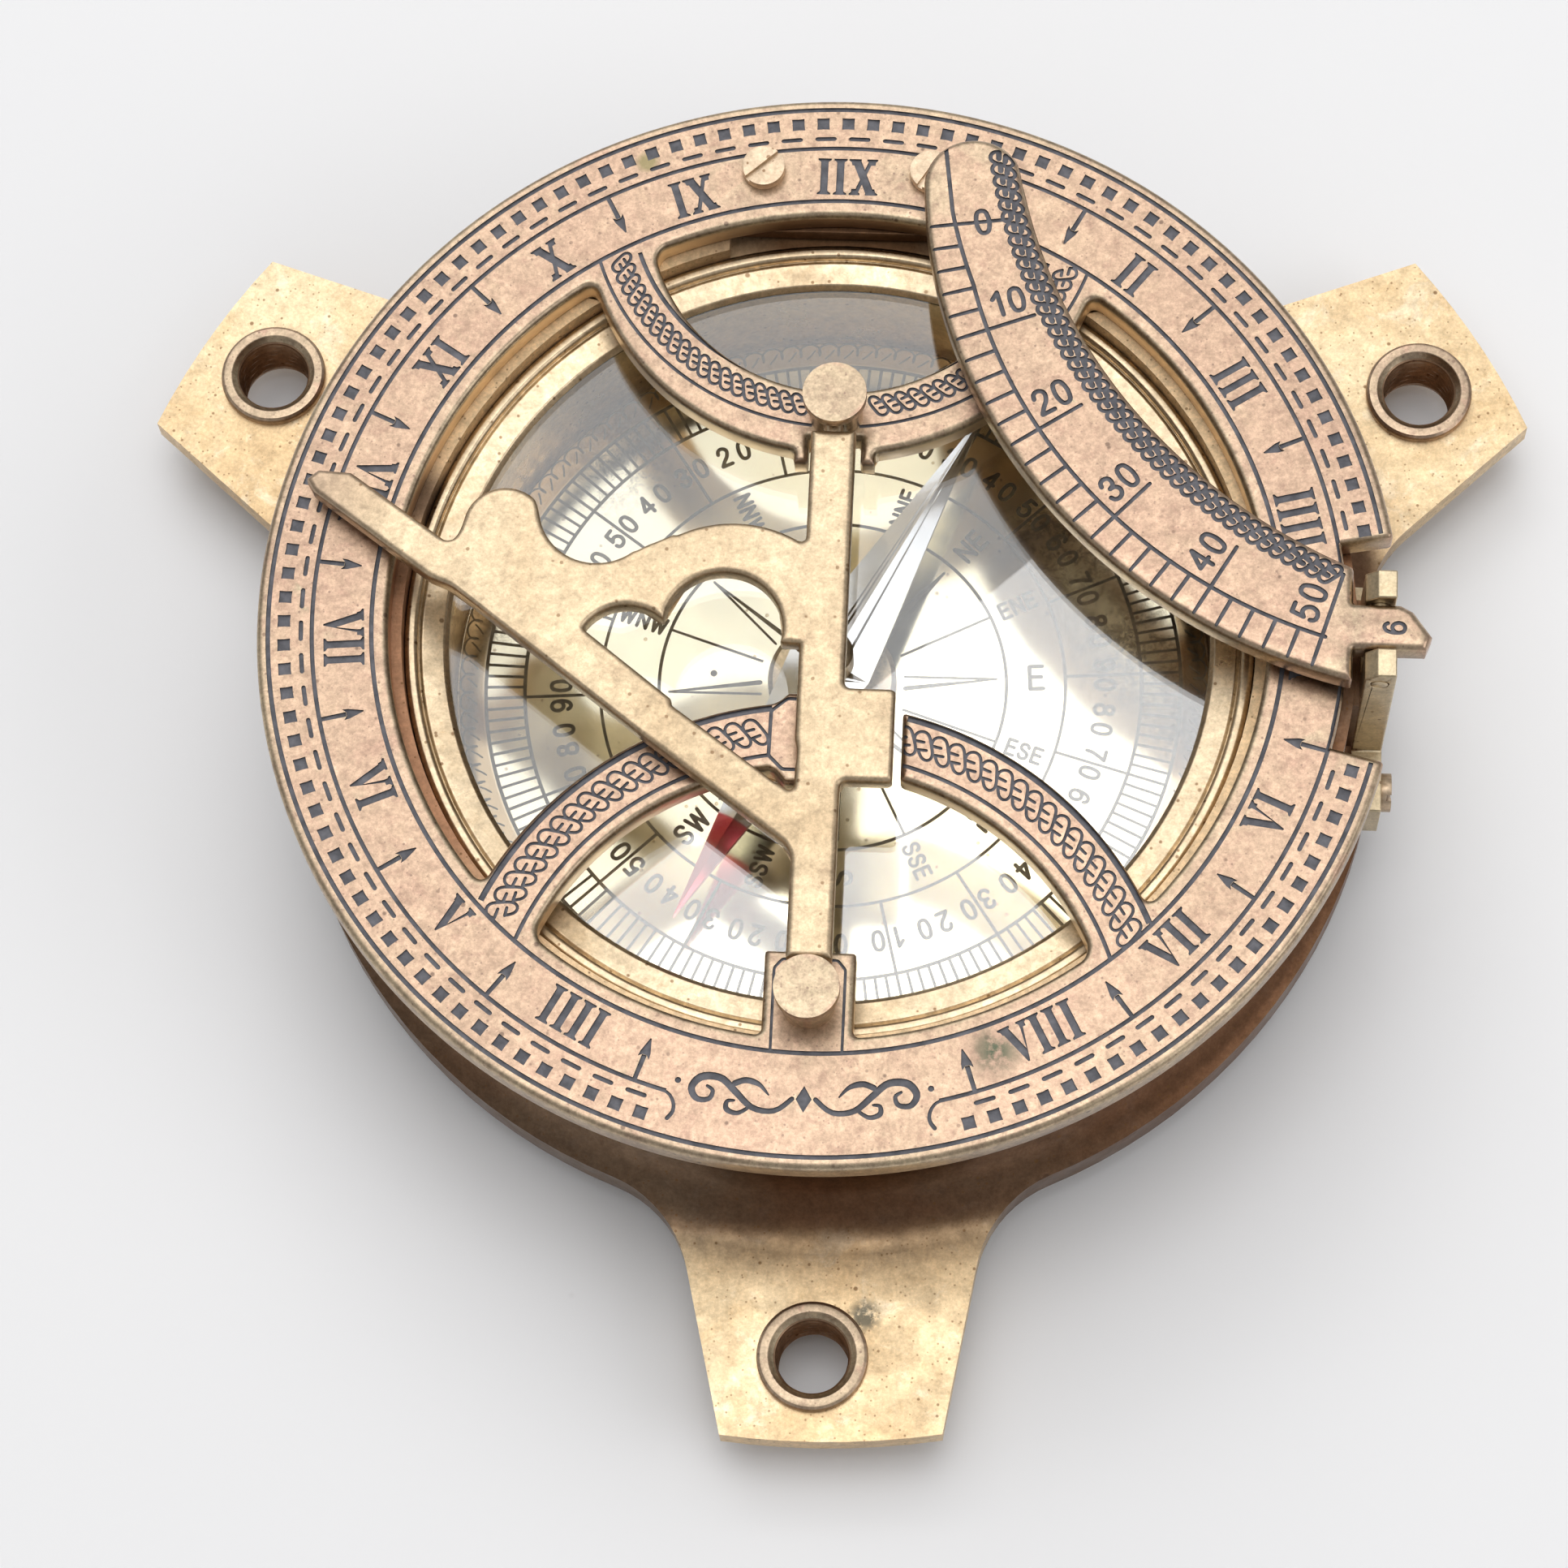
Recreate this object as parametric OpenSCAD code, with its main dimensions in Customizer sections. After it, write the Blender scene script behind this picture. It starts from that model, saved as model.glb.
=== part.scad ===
// Folding sundial compass in brass: a three-lugged base with a compass set in it,
// a pierced dial plate hinged at noon, a fold-down gnomon and a fold-down latitude arc.
// Units are millimetres. Z is up, +Y points to noon (XII), and the origin is on the
// dial's axis at the base's flat underside.

/* [Base casting] */
// height of the dial plate's top face above the table
overall_h = 30.5; // [30:0.5:31]
// outside radius of the drum that carries the dial plate
drum_r = 51; // [50.5:0.25:51]
// outside radius of the flange at the drum's foot
flange_r = 54.2; // [53.5:0.1:54.5]
// height of the flat tops of the three lugs
lug_top = 8.3; // [8:0.1:8.6]
// thickness of the lugs and the flange
lug_t = 2.9; // [2.5:0.1:3.2]
// reach of the lugs from the dial's axis
lug_reach = 75.8; // [75:0.2:76.6]
// half the width of a lug at its tip
lug_half = 10.65; // [10:0.05:11]
// taper of each side of a lug, in degrees
lug_taper = 11.5; // [10:0.5:12]
// radius of the hollow corners where the lugs join the flange
lug_fillet = 12; // [10:0.5:13]
// radius of the cove between the drum wall and the flange
cove_r = 6.5; // [5:0.5:7]
// thickness of the drum's floor
floor_t = 3; // [2.5:0.5:3.5]

/* [Levelling bushes] */
// radius of the circle the three bushes stand on
bush_circle_r = 67.6; // [67:0.1:68]
// outside radius of a bush
bush_r = 5.35; // [5:0.05:5.6]
// radius of the threaded hole, at the thread's crests
bush_hole_r = 3.4; // [3.2:0.1:3.6]
// length of a bush
bush_len = 7.3; // [6.8:0.1:7.6]
// how far a bush stands above its lug
bush_proud = 1; // [0.8:0.1:1.2]

/* [Compass] */
// inner radius of the compass bowl
bowl_r = 37.6; // [37.4:0.1:37.8]
// radius of the engraved card
card_r = 37.3; // [37:0.1:37.4]
// length of the needle, tip to tip
needle_len = 60.6; // [56:0.2:64]
// width of the needle at its middle
needle_w = 8.6; // [7:0.2:9.4]
// direction the needle rests in, clockwise from noon
needle_rest = 27.7; // [0:0.1:360]
// radius of the glass
glass_r = 38.4; // [38:0.1:38.5]
// thickness of the glass
glass_t = 1.6; // [1.4:0.1:1.7]
// radius of the bezel's inner edge
bezel_in_r = 36.9; // [36.4:0.1:37.2]
// outside radius of the bezel
bezel_r = 41.2; // [41:0.1:41.2]

/* [Dial plate] */
// outside radius of the dial plate
dial_r = 55; // [54.8:0.1:55.4]
// inner radius of the dial plate's ring
ring_in_r = 42.3; // [42:0.1:42.6]
// thickness of the dial plate
dial_t = 3; // [2.8:0.1:3]
// floor radius of the notch that clears the latitude arc
notch_r = 49.9; // [49.6:0.1:50.1]

/* [Gnomon] */
// thickness of the gnomon
gnomon_t = 2.4; // [2:0.1:2.4]
// height of the gnomon's hinge line above the dial plate
gnomon_axis_h = 2.6; // [2.6:0.05:2.7]
// width of the gnomon's post
post_w = 4.3; // [4:0.1:4.3]
// radius of the post's trunnions
trunnion_r = 0.9; // [0.7:0.05:1]
// radius of the pillar heads
pillar_head_r = 3.1; // [2.9:0.1:3.3]

/* [Latitude arc] */
// thickness of the arc
arc_t = 2.7; // [2.4:0.1:2.7]
// gap between the folded arc and the dial plate
arc_gap = 1.4; // [1.4:0.1:1.5]
// radius of the arc's outer, graduated edge
arc_out_r = 54.5; // [54.2:0.1:54.8]
// radius of the arc's inner edge
arc_in_r = 55.5; // [55.2:0.1:55.8]
// radius of the arc's pivot pin
pivot_r = 0.8; // [0.6:0.05:0.85]

/* [Hidden] */
$fn = 96;

eps = 0.01;          // overlap of a cutter with the face it opens
fit = 0.05;          // running clearance, on the radius
seat = 0.1;          // clearance round a part that is set in the base

// colours
brass = [0.80, 0.64, 0.36];
bronze = [0.78, 0.58, 0.44];
satin = [0.78, 0.65, 0.45];
pale = [0.86, 0.76, 0.55];
steel = [0.80, 0.80, 0.82];

// heights
z_dial = overall_h;
z_rim = z_dial - dial_t;
lug_under = lug_top - lug_t;
foot_r = drum_r - 1.5;

// lugs and bushes: directions are clockwise from noon
lug_dirs = [-60.7, 57.6, 177.7];
bush_dirs = [-60.8, 59.2, 179.2];
lug_tip_y = lug_reach - 0.8;         // height at which lug_half is measured

// compass
ledge_z = 20.8;                      // shoulder the bowl's flange sits on
flange_t = 1.4;
bowl_wall = 1.4;
bowl_floor_z = 8;
bowl_floor_t = 1.3;
card_z = bowl_floor_z + bowl_floor_t;
card_t = 1;
seal_t = 0.5;
seat_z = ledge_z + flange_t;         // face the seal lies on
glass_z = seat_z + seal_t;
lip_z = glass_z + glass_t;
bezel_step_r = 39.9;
bezel_top = z_rim - 1.6;
hub_r = 6.4;
hub_t = 2;
stem_r = 1.6;
stem_top = 14.6;
pin_r = 0.5;
pin_top = 18.6;
needle_z = 16.3;
needle_t = 0.8;
cap_r = 2.3;
cap_foot_r = 3.3;
cap_top = 20.2;

// noon hinge
hinge_y = 51.3;
hinge_z = z_rim - 2.6;
knuckle_r = 2.2;
hinge_half = 11;
hinge_mid = 4;                       // half length of the dial leaf's knuckle
hinge_flat_y = 49;
leaf_t = 1.6;
leaf_y0 = 41.8;
leaf_low = 12.9;
hinge_pin_r = 0.9;
dial_screw_x = 8.3;
dial_screw_y = 47;
dial_screw_r = 2.1;
dial_screw_head = 1.1;
dial_shank_r = 1.25;
base_screw_x = 7;
base_screw_z = 17;

// screws that go into the drum
small_head_r = 1.9;
small_head_t = 1.1;
small_shank_r = 1.1;
small_depth = 5;
slot_w = 0.6;
slot_depth = 0.5;

// bands across the dial plate
north_band_y = 42.6;                 // centre of both edges of the northern band
north_band_r = [19.2, 25.7];
south_band_y = -43.8;
south_band_r = [28.4, 35];
notch_from = 79.8;                   // clockwise from noon
notch_to = 103.8;
pad_cut = [-1.55, 7.7];              // cut-out in the middle pad for the gnomon's tab
pillar_n_y = 21;
pillar_s_y = -38.9;
neck_r = 2.6;
head_t = 1.2;
rivet_r = 1.2;
pillar_top = z_dial + gnomon_axis_h + 1.5;
axis_z = z_dial + gnomon_axis_h;
post_gap = 0.2;                      // between the post's ends and the pillar heads
post_n = pillar_n_y - pillar_head_r - post_gap;
post_s = pillar_s_y + pillar_head_r + post_gap;
trunnion_len = 2.8;
swing_room = 0.4;                    // room beside the post and tab in the plate

// latitude arc and its bracket
arc_z = z_dial + arc_gap;
pivot_x = 52.7;
pivot_z = arc_z + arc_t / 2;
arc_out_c = [62.2, 46.5];
arc_in_c = [71.7, 56.1];
arc_end_y = 44.2;
shoulder_x = 50.1;
tongue_y = [-3.35, 1.25];
bracket_x = [51.2, 54.2];
bracket_y = [-6.5, 4.35];
ear_top = pivot_z + 2.25;
ear_gap = 0.25;
slot_floor = pivot_z - 5.35;
ear_chamfer = 1.2;
foot_y = [-12.8, 10.7];
foot_z = [8.9, 15];
bracket_screw_y = [-9.8, 7.7];
bracket_screw_z = 12;

// turns children from the +Y axis to a direction clockwise from noon
module toward(a) {
    rotate([0, 0, -a]) children();
}

// flat outline of the flange and its lugs
module base_outline() {
    n = [cos(lug_taper), sin(lug_taper)];
    t = [-sin(lug_taper), cos(lug_taper)];
    c = lug_half * n[0] + lug_tip_y * n[1];
    s = sqrt(pow(flange_r + lug_fillet, 2) - pow(c + lug_fillet, 2));
    centre = (c + lug_fillet) * n + s * t;
    on_side = c * n + s * t;
    on_rim = centre * flange_r / (flange_r + lug_fillet);
    at_tip = [(c - lug_reach * n[1]) / n[0], lug_reach];
    circle(r = flange_r);
    for (a = lug_dirs)
        toward(a) {
            intersection() {
                circle(r = lug_reach);
                polygon([[0, 0], on_side, at_tip, [-at_tip[0], at_tip[1]],
                         [-on_side[0], on_side[1]]]);
            }
            for (side = [0, 1])
                mirror([side, 0])
                    difference() {
                        polygon([[0, 0], on_side, centre, on_rim]);
                        translate(centre)
                            circle(r = lug_fillet);
                    }
        }
}

// concave ring between the drum wall and the flange
module cove() {
    rotate_extrude()
        difference() {
            translate([drum_r - 2, lug_top - 0.5])
                square([cove_r + 2, cove_r + 0.5]);
            translate([drum_r + cove_r, lug_top + cove_r])
                circle(r = cove_r);
        }
}

// a block given by its low and high corners
module block(lo, hi) {
    translate(lo)
        cube(hi - lo);
}

module base_casting() {
    color(brass)
        difference() {
            union() {
                cylinder(r = foot_r, h = lug_top);
                translate([0, 0, lug_under])
                    cylinder(r = drum_r, h = z_rim - lug_under);
                translate([0, 0, lug_under])
                    linear_extrude(lug_t)
                        base_outline();
                intersection() {
                    cove();
                    linear_extrude(z_rim)
                        base_outline();
                }
                // pad behind the arc's bracket
                block([drum_r - 6, foot_y[0], lug_under],
                      [bracket_x[0], foot_y[1], foot_z[1] + 1]);
                block([drum_r - 6, bracket_y[0], lug_under],
                      [bracket_x[0], bracket_y[1], z_rim - 0.1]);
            }
            translate([0, 0, floor_t])
                cylinder(r = bowl_r + bowl_wall + seat, h = z_rim);
            translate([0, 0, ledge_z])
                cylinder(r = bezel_r + seat, h = z_rim);
            // seats of the levelling bushes
            for (a = bush_dirs)
                toward(a)
                    translate([0, bush_circle_r, -1])
                        cylinder(r = bush_r, h = z_rim);
            // pocket and flat for the noon hinge
            block([-hinge_half - 0.5, ring_in_r - 4, z_rim - leaf_t - 0.3],
                  [hinge_half + 0.5, drum_r + 5, z_rim + 1]);
            block([-hinge_half - 0.5, hinge_flat_y, leaf_low - 0.3],
                  [hinge_half + 0.5, drum_r + 5, z_rim + 1]);
            for (x = [-base_screw_x, base_screw_x])
                translate([x, hinge_flat_y - small_depth, base_screw_z])
                    rotate([-90, 0, 0])
                        cylinder(r = small_shank_r + fit, h = small_depth + 1);
            // ledge for the bracket's foot
            block([bracket_x[0], foot_y[0] - 0.2, foot_z[0]],
                  [bracket_x[1] + 9, foot_y[1] + 0.2, z_rim]);
            for (y = bracket_screw_y)
                translate([bracket_x[0] - small_depth, y, bracket_screw_z])
                    rotate([0, 90, 0])
                        cylinder(r = small_shank_r + fit, h = small_depth + 1);
        }
}

// threaded bushes that take the levelling screws
module levelling_bushes() {
    color(bronze)
        for (a = bush_dirs)
            toward(a)
                translate([0, bush_circle_r, lug_top + bush_proud - bush_len])
                    rotate_extrude()
                        polygon([[bush_hole_r, 0.5], [bush_hole_r + 0.5, 0],
                                 [bush_r - 0.3, 0], [bush_r, 0.3],
                                 [bush_r, bush_len - 0.6],
                                 [bush_r - 0.6, bush_len],
                                 [bush_hole_r + 0.8, bush_len],
                                 [bush_hole_r, bush_len - 0.8]]);
}

module compass_bowl() {
    color(brass)
        rotate_extrude()
            polygon([[0, bowl_floor_z],
                     [bowl_r + bowl_wall, bowl_floor_z],
                     [bowl_r + bowl_wall, ledge_z],
                     [bezel_r, ledge_z],
                     [bezel_r, seat_z],
                     [bowl_r, seat_z],
                     [bowl_r, card_z],
                     [0, card_z]]);
}

module rose_card() {
    color(pale)
        translate([0, 0, card_z])
            cylinder(r = card_r, h = card_t);
}

// flanged post with a steel point for the needle to turn on
module needle_pivot() {
    z0 = card_z + card_t;
    color(pale)
        rotate_extrude()
            polygon([[0, z0], [hub_r, z0], [hub_r, z0 + hub_t - 0.5],
                     [hub_r - 0.5, z0 + hub_t], [stem_r + 0.4, z0 + hub_t],
                     [stem_r, z0 + hub_t + 0.4], [stem_r, stem_top - 0.4],
                     [pin_r, stem_top], [pin_r, pin_top - 0.6],
                     [0.1, pin_top], [0, pin_top]]);
}

// long lozenge with a ridge down the middle
module needle() {
    color(steel)
        toward(needle_rest)
            difference() {
                intersection() {
                    translate([0, 0, needle_z - 1])
                        linear_extrude(4)
                            polygon([[0, needle_len / 2], [needle_w / 2, 0],
                                     [0, -needle_len / 2], [-needle_w / 2, 0]]);
                    translate([0, needle_len / 2, 0])
                        rotate([90, 0, 0])
                            linear_extrude(needle_len)
                                polygon([[-needle_w, needle_z],
                                         [needle_w, needle_z],
                                         [needle_w / 2, needle_z + 0.3],
                                         [0, needle_z + needle_t],
                                         [-needle_w / 2, needle_z + 0.3]]);
                }
                cylinder(r = cap_r, h = z_dial);
            }
}

// jewelled cap that sits in the needle and rides on the point
module needle_cap() {
    z0 = needle_z - 0.9;
    color(pale)
        difference() {
            rotate_extrude()
                polygon([[0, z0], [cap_foot_r, z0], [cap_foot_r, needle_z],
                         [cap_r, needle_z], [cap_r, cap_top - 0.6],
                         [cap_r - 0.6, cap_top], [0, cap_top]]);
            translate([0, 0, z0 - 1])
                cylinder(r = 1.1, h = pin_top - z0 + 1.15);
        }
}

module glass_seal() {
    color([0.13, 0.12, 0.11])
        translate([0, 0, seat_z])
            difference() {
                cylinder(r = glass_r, h = seal_t);
                translate([0, 0, -1])
                    cylinder(r = bowl_r - 0.2, h = seal_t + 2);
            }
}

module cover_glass() {
    color([0.85, 0.90, 0.90, 0.35])
        translate([0, 0, glass_z])
            cylinder(r = glass_r, h = glass_t);
}

// stepped bezel that holds the glass down
module bezel_ring() {
    color(brass)
        rotate_extrude()
            polygon([[glass_r + seat, seat_z],
                     [bezel_r, seat_z],
                     [bezel_r, bezel_top - 0.4],
                     [bezel_r - 0.4, bezel_top],
                     [bezel_step_r + 0.3, bezel_top],
                     [bezel_step_r, bezel_top - 0.3],
                     [bezel_step_r, bezel_top - 0.9],
                     [bezel_step_r - 0.4, bezel_top - 0.6],
                     [bezel_in_r + 0.5, lip_z + 0.6],
                     [bezel_in_r, lip_z],
                     [glass_r + seat, lip_z]]);
}

// one of the two curved bands across the dial plate
module band(y, r) {
    translate([0, y])
        difference() {
            circle(r = r[1]);
            circle(r = r[0]);
        }
}

// pierced outline of the dial plate
module dial_outline() {
    difference() {
        union() {
            difference() {
                circle(r = dial_r);
                circle(r = ring_in_r);
            }
            intersection() {
                circle(r = ring_in_r + 1);
                union() {
                    band(north_band_y, north_band_r);
                    band(south_band_y, south_band_r);
                }
            }
            // lobed pad under the northern pillar
            translate([-3.9, 15.9])
                square([7.8, 4]);
            // six-sided pad in the middle of the southern band
            polygon([[-5.1, -15.2], [-3.3, -17.2], [3.3, -17.2], [5.1, -15.2],
                     [5.1, -9.8], [3.3, -8], [-3.3, -8], [-5.1, -9.8]]);
            // tongue that carries the southern pillar
            translate([-3.3, -ring_in_r - 1])
                square([6.6, ring_in_r - 32.7]);
            translate([-4.3, -ring_in_r - 1])
                square([8.6, ring_in_r - 33.7]);
            for (x = [-3.3, 3.3])
                translate([x, -34.7])
                    circle(r = 1);
        }
        // room for the gnomon's post and tab to swing down
        translate([-post_w / 2 - swing_room, 10])
            square([post_w + 2 * swing_room, 8.5]);
        translate([pad_cut[0], -20])
            square([pad_cut[1] - pad_cut[0], 13]);
        // notch for the raised latitude arc
        difference() {
            polygon([[0, 0],
                     90 * [sin(notch_from), cos(notch_from)],
                     90 * [sin(notch_to), cos(notch_to)]]);
            circle(r = notch_r);
        }
    }
}

module dial_plate() {
    color(bronze)
        difference() {
            translate([0, 0, z_rim])
                linear_extrude(dial_t)
                    dial_outline();
            for (x = [-dial_screw_x, dial_screw_x])
                translate([x, dial_screw_y, 0])
                    cylinder(r = dial_shank_r + 0.2, h = z_dial + 1);
            for (y = [pillar_n_y, pillar_s_y])
                translate([0, y, 0])
                    cylinder(r = rivet_r + fit, h = z_dial + 1);
        }
}

// a knuckle of the noon hinge between two x positions
module knuckle(x0, x1) {
    translate([x0, hinge_y, hinge_z])
        rotate([0, 90, 0])
            cylinder(r = knuckle_r, h = x1 - x0);
}

module hinge_bore(r) {
    translate([-hinge_half - 1, hinge_y, hinge_z])
        rotate([0, 90, 0])
            cylinder(r = r, h = 2 * hinge_half + 2);
}

// leaf screwed under the dial plate
module hinge_leaf_dial() {
    color(brass)
        difference() {
            union() {
                block([-hinge_half, leaf_y0, z_rim - leaf_t],
                      [hinge_half, hinge_flat_y - 0.4, z_rim]);
                block([-hinge_mid, hinge_flat_y - 1, z_rim - leaf_t],
                      [hinge_mid, hinge_y, z_rim]);
                knuckle(-hinge_mid, hinge_mid);
            }
            hinge_bore(hinge_pin_r + fit);
            for (x = [-dial_screw_x, dial_screw_x])
                translate([x, dial_screw_y, 0])
                    cylinder(r = dial_shank_r + 0.02, h = z_dial);
        }
}

// leaf screwed to the flat on the drum
module hinge_leaf_base() {
    color(brass)
        difference() {
            union() {
                block([-hinge_half, hinge_flat_y, leaf_low],
                      [hinge_half, hinge_flat_y + leaf_t, hinge_z - knuckle_r - 0.3]);
                for (s = [0, 1])
                    mirror([s, 0, 0]) {
                        knuckle(hinge_mid + 0.15, hinge_half);
                        block([hinge_mid + 0.15, hinge_flat_y, hinge_z - knuckle_r - 1],
                              [hinge_half, hinge_flat_y + leaf_t, hinge_z]);
                    }
            }
            hinge_bore(hinge_pin_r + 0.02);
            for (x = [-base_screw_x, base_screw_x])
                translate([x, hinge_flat_y - 1, base_screw_z])
                    rotate([-90, 0, 0])
                        cylinder(r = small_shank_r + fit, h = leaf_t + 2);
        }
}

module hinge_pin() {
    color(steel)
        translate([-hinge_half, hinge_y, hinge_z])
            rotate([0, 90, 0])
                cylinder(r = hinge_pin_r, h = 2 * hinge_half);
}

// a slotted screw: head above z = 0, shank below
module slotted_screw(head_r, head_t, shank_r, shank_len, turn) {
    difference() {
        union() {
            cylinder(r = head_r, h = head_t);
            translate([0, 0, -shank_len])
                cylinder(r = shank_r, h = shank_len + eps);
        }
        rotate([0, 0, turn])
            translate([-head_r - 1, -slot_w / 2, head_t - slot_depth])
                cube([2 * head_r + 2, slot_w, head_t]);
    }
}

module dial_hinge_screws() {
    color(brass)
        for (s = [[-1, 42], [1, 58]])
            translate([s[0] * dial_screw_x, dial_screw_y, z_dial])
                slotted_screw(dial_screw_r, dial_screw_head, dial_shank_r,
                              dial_t + leaf_t, s[1]);
}

module base_hinge_screws() {
    color(brass)
        for (s = [[-1, 20], [1, 75]])
            translate([s[0] * base_screw_x, hinge_flat_y + leaf_t, base_screw_z])
                rotate([-90, 0, 0])
                    slotted_screw(small_head_r, small_head_t, small_shank_r,
                                  leaf_t + small_depth - 0.3, s[1]);
}

// a headed pillar riveted through the dial plate; the bore faces along side * Y
module pillar(y, side) {
    color(bronze)
        difference() {
            translate([0, y, 0])
                union() {
                    translate([0, 0, z_rim])
                        cylinder(r = rivet_r, h = dial_t + eps);
                    translate([0, 0, z_dial])
                        cylinder(r = neck_r, h = pillar_top - z_dial + eps);
                    translate([0, 0, pillar_top])
                        cylinder(r = pillar_head_r, h = head_t);
                }
            translate([0, y, axis_z])
                rotate([-90 * side, 0, 0])
                    cylinder(r = trunnion_r + fit, h = neck_r + 1);
        }
}

module pillar_north() {
    pillar(pillar_n_y, -1);
}

module pillar_south() {
    pillar(pillar_s_y, 1);
}

// flat outline of the gnomon, folded down to the left
module gnomon_outline() {
    difference() {
        union() {
            // style bar
            polygon([[-50.7, 11.1], [-49.9, 9.8], [-38.1, 1.3], [-35.6, 0.3],
                     [-16.7, -14.2], [-1.6, -25.3], [-2, -19.6], [-36.6, 5],
                     [-46.4, 11.9], [-49.6, 12.1]]);
            // scrolled web between the bar and the post
            translate([-31.2, 6.8])
                circle(r = 4);
            polygon([[-37.6, 4.2], [-35.6, 0.6], [-16.7, -13.5], [-8.9, -4.2],
                     [-14.9, 6.25], [-18.2, 5], [-22.3, 6.9], [-27.4, 6.5],
                     [-31.2, 8.5], [-34.9, 6.2]]);
            intersection() {
                translate([-8.9, -4.2])
                    circle(r = 12);
                polygon([[-20, -8], [0, -16], [0, 12], [-20, 12]]);
            }
            // post and stop tab
            translate([-post_w / 2, post_s])
                square([post_w, post_n - post_s]);
            translate([0, -18.1])
                square([6.3, 9.4]);
            translate([0, -17.1])
                square([7.3, 7.4]);
            for (y = [-17.1, -9.7])
                translate([6.3, y])
                    circle(r = 1);
        }
        // hollow of the scroll
        translate([-22.3, 8.9])
            circle(r = 5.6);
        // cusped window
        difference() {
            union() {
                translate([-18.8, -5.8])
                    circle(r = 4.8);
                translate([-9.7, -3])
                    circle(r = 5.7);
                polygon([[-23, -3.4], [-9, -14.2], [-4, -18.3], [-2.3, -16],
                         [-2.3, -4.4], [-3.8, -4.35], [-9.7, -3], [-15.8, -2.2]]);
            }
            polygon([[-40, 9.76], [-40, -21], [0, -21], [-4, -18.3]]);
            translate([-post_w / 2, -40])
                square([20, 60]);
        }
    }
}

module gnomon() {
    color(satin)
        union() {
            translate([0, 0, axis_z - gnomon_t / 2])
                linear_extrude(gnomon_t)
                    gnomon_outline();
            translate([0, post_n - eps, axis_z])
                rotate([-90, 0, 0])
                    cylinder(r = trunnion_r, h = trunnion_len);
            translate([0, post_s + eps, axis_z])
                rotate([90, 0, 0])
                    cylinder(r = trunnion_r, h = trunnion_len);
        }
}

// forked bracket the latitude arc folds on
module arc_bracket() {
    color(pale)
        difference() {
            union() {
                block([bracket_x[0], bracket_y[0], foot_z[0]],
                      [bracket_x[1], bracket_y[1], ear_top]);
                block([bracket_x[0], foot_y[0], foot_z[0]],
                      [bracket_x[1], foot_y[1], foot_z[1]]);
            }
            block([bracket_x[0] - 1, tongue_y[0] - ear_gap, slot_floor],
                  [bracket_x[1] + 1, tongue_y[1] + ear_gap, ear_top + 1]);
            // slanted inner edge of the ears
            translate([bracket_x[0], bracket_y[1] + 1, ear_top])
                rotate([90, 0, 0])
                    linear_extrude(bracket_y[1] - bracket_y[0] + 2)
                        polygon([[-1, 1], [ear_chamfer, 1], [ear_chamfer, 0],
                                 [0, -ear_chamfer], [-1, -ear_chamfer]]);
            translate([pivot_x, bracket_y[0] - 1, pivot_z])
                rotate([-90, 0, 0])
                    cylinder(r = pivot_r + 0.02, h = bracket_y[1] - bracket_y[0] + 2);
            for (y = bracket_screw_y)
                translate([bracket_x[0] - 1, y, bracket_screw_z])
                    rotate([0, 90, 0])
                        cylinder(r = small_shank_r + fit, h = 6);
        }
}

module bracket_screws() {
    color(brass)
        for (s = [[0, 35], [1, 100]])
            translate([bracket_x[1], bracket_screw_y[s[0]], bracket_screw_z])
                rotate([0, 90, 0])
                    slotted_screw(small_head_r, small_head_t, small_shank_r,
                                  bracket_x[1] - bracket_x[0] + small_depth - 0.3,
                                  s[1]);
}

module arc_pivot_pin() {
    color(steel)
        translate([pivot_x, bracket_y[0], pivot_z])
            rotate([-90, 0, 0])
                cylinder(r = pivot_r, h = bracket_y[1] - bracket_y[0]);
}

// flat outline of the latitude arc, folded down over the dial
module arc_outline() {
    end_out = arc_out_c[0] - sqrt(pow(arc_out_r, 2) - pow(arc_out_c[1] - arc_end_y, 2));
    end_in = arc_in_c[0] - sqrt(pow(arc_in_r, 2) - pow(arc_in_c[1] - arc_end_y, 2));
    difference() {
        union() {
            intersection() {
                translate(arc_out_c)
                    circle(r = arc_out_r);
                translate([0, -20])
                    square([shoulder_x, arc_end_y + 20]);
            }
            translate([(end_out + end_in) / 2, arc_end_y])
                circle(r = (end_in - end_out) / 2);
            polygon([[shoulder_x - 3, tongue_y[0]], [57.1, tongue_y[0]],
                     [57.6, -1.9], [55.8, 0.6], [54.6, tongue_y[1]],
                     [shoulder_x - 3, tongue_y[1]]]);
        }
        translate(arc_in_c)
            circle(r = arc_in_r);
    }
}

module latitude_arc() {
    color(bronze)
        difference() {
            translate([0, 0, arc_z])
                linear_extrude(arc_t)
                    arc_outline();
            translate([pivot_x, bracket_y[0] - 1, pivot_z])
                rotate([-90, 0, 0])
                    cylinder(r = pivot_r + fit + 0.02, h = bracket_y[1] - bracket_y[0] + 2);
        }
}

base_casting();
levelling_bushes();
compass_bowl();
rose_card();
needle_pivot();
needle();
needle_cap();
glass_seal();
cover_glass();
bezel_ring();
dial_plate();
hinge_leaf_dial();
hinge_leaf_base();
hinge_pin();
dial_hinge_screws();
base_hinge_screws();
pillar_north();
pillar_south();
gnomon();
arc_bracket();
bracket_screws();
arc_pivot_pin();
latitude_arc();
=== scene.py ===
"""Folding sundial compass in brass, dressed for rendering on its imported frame."""
import math

import bpy
import numpy as np
from mathutils import Matrix, Vector
from mathutils.geometry import delaunay_2d_cdt


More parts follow.
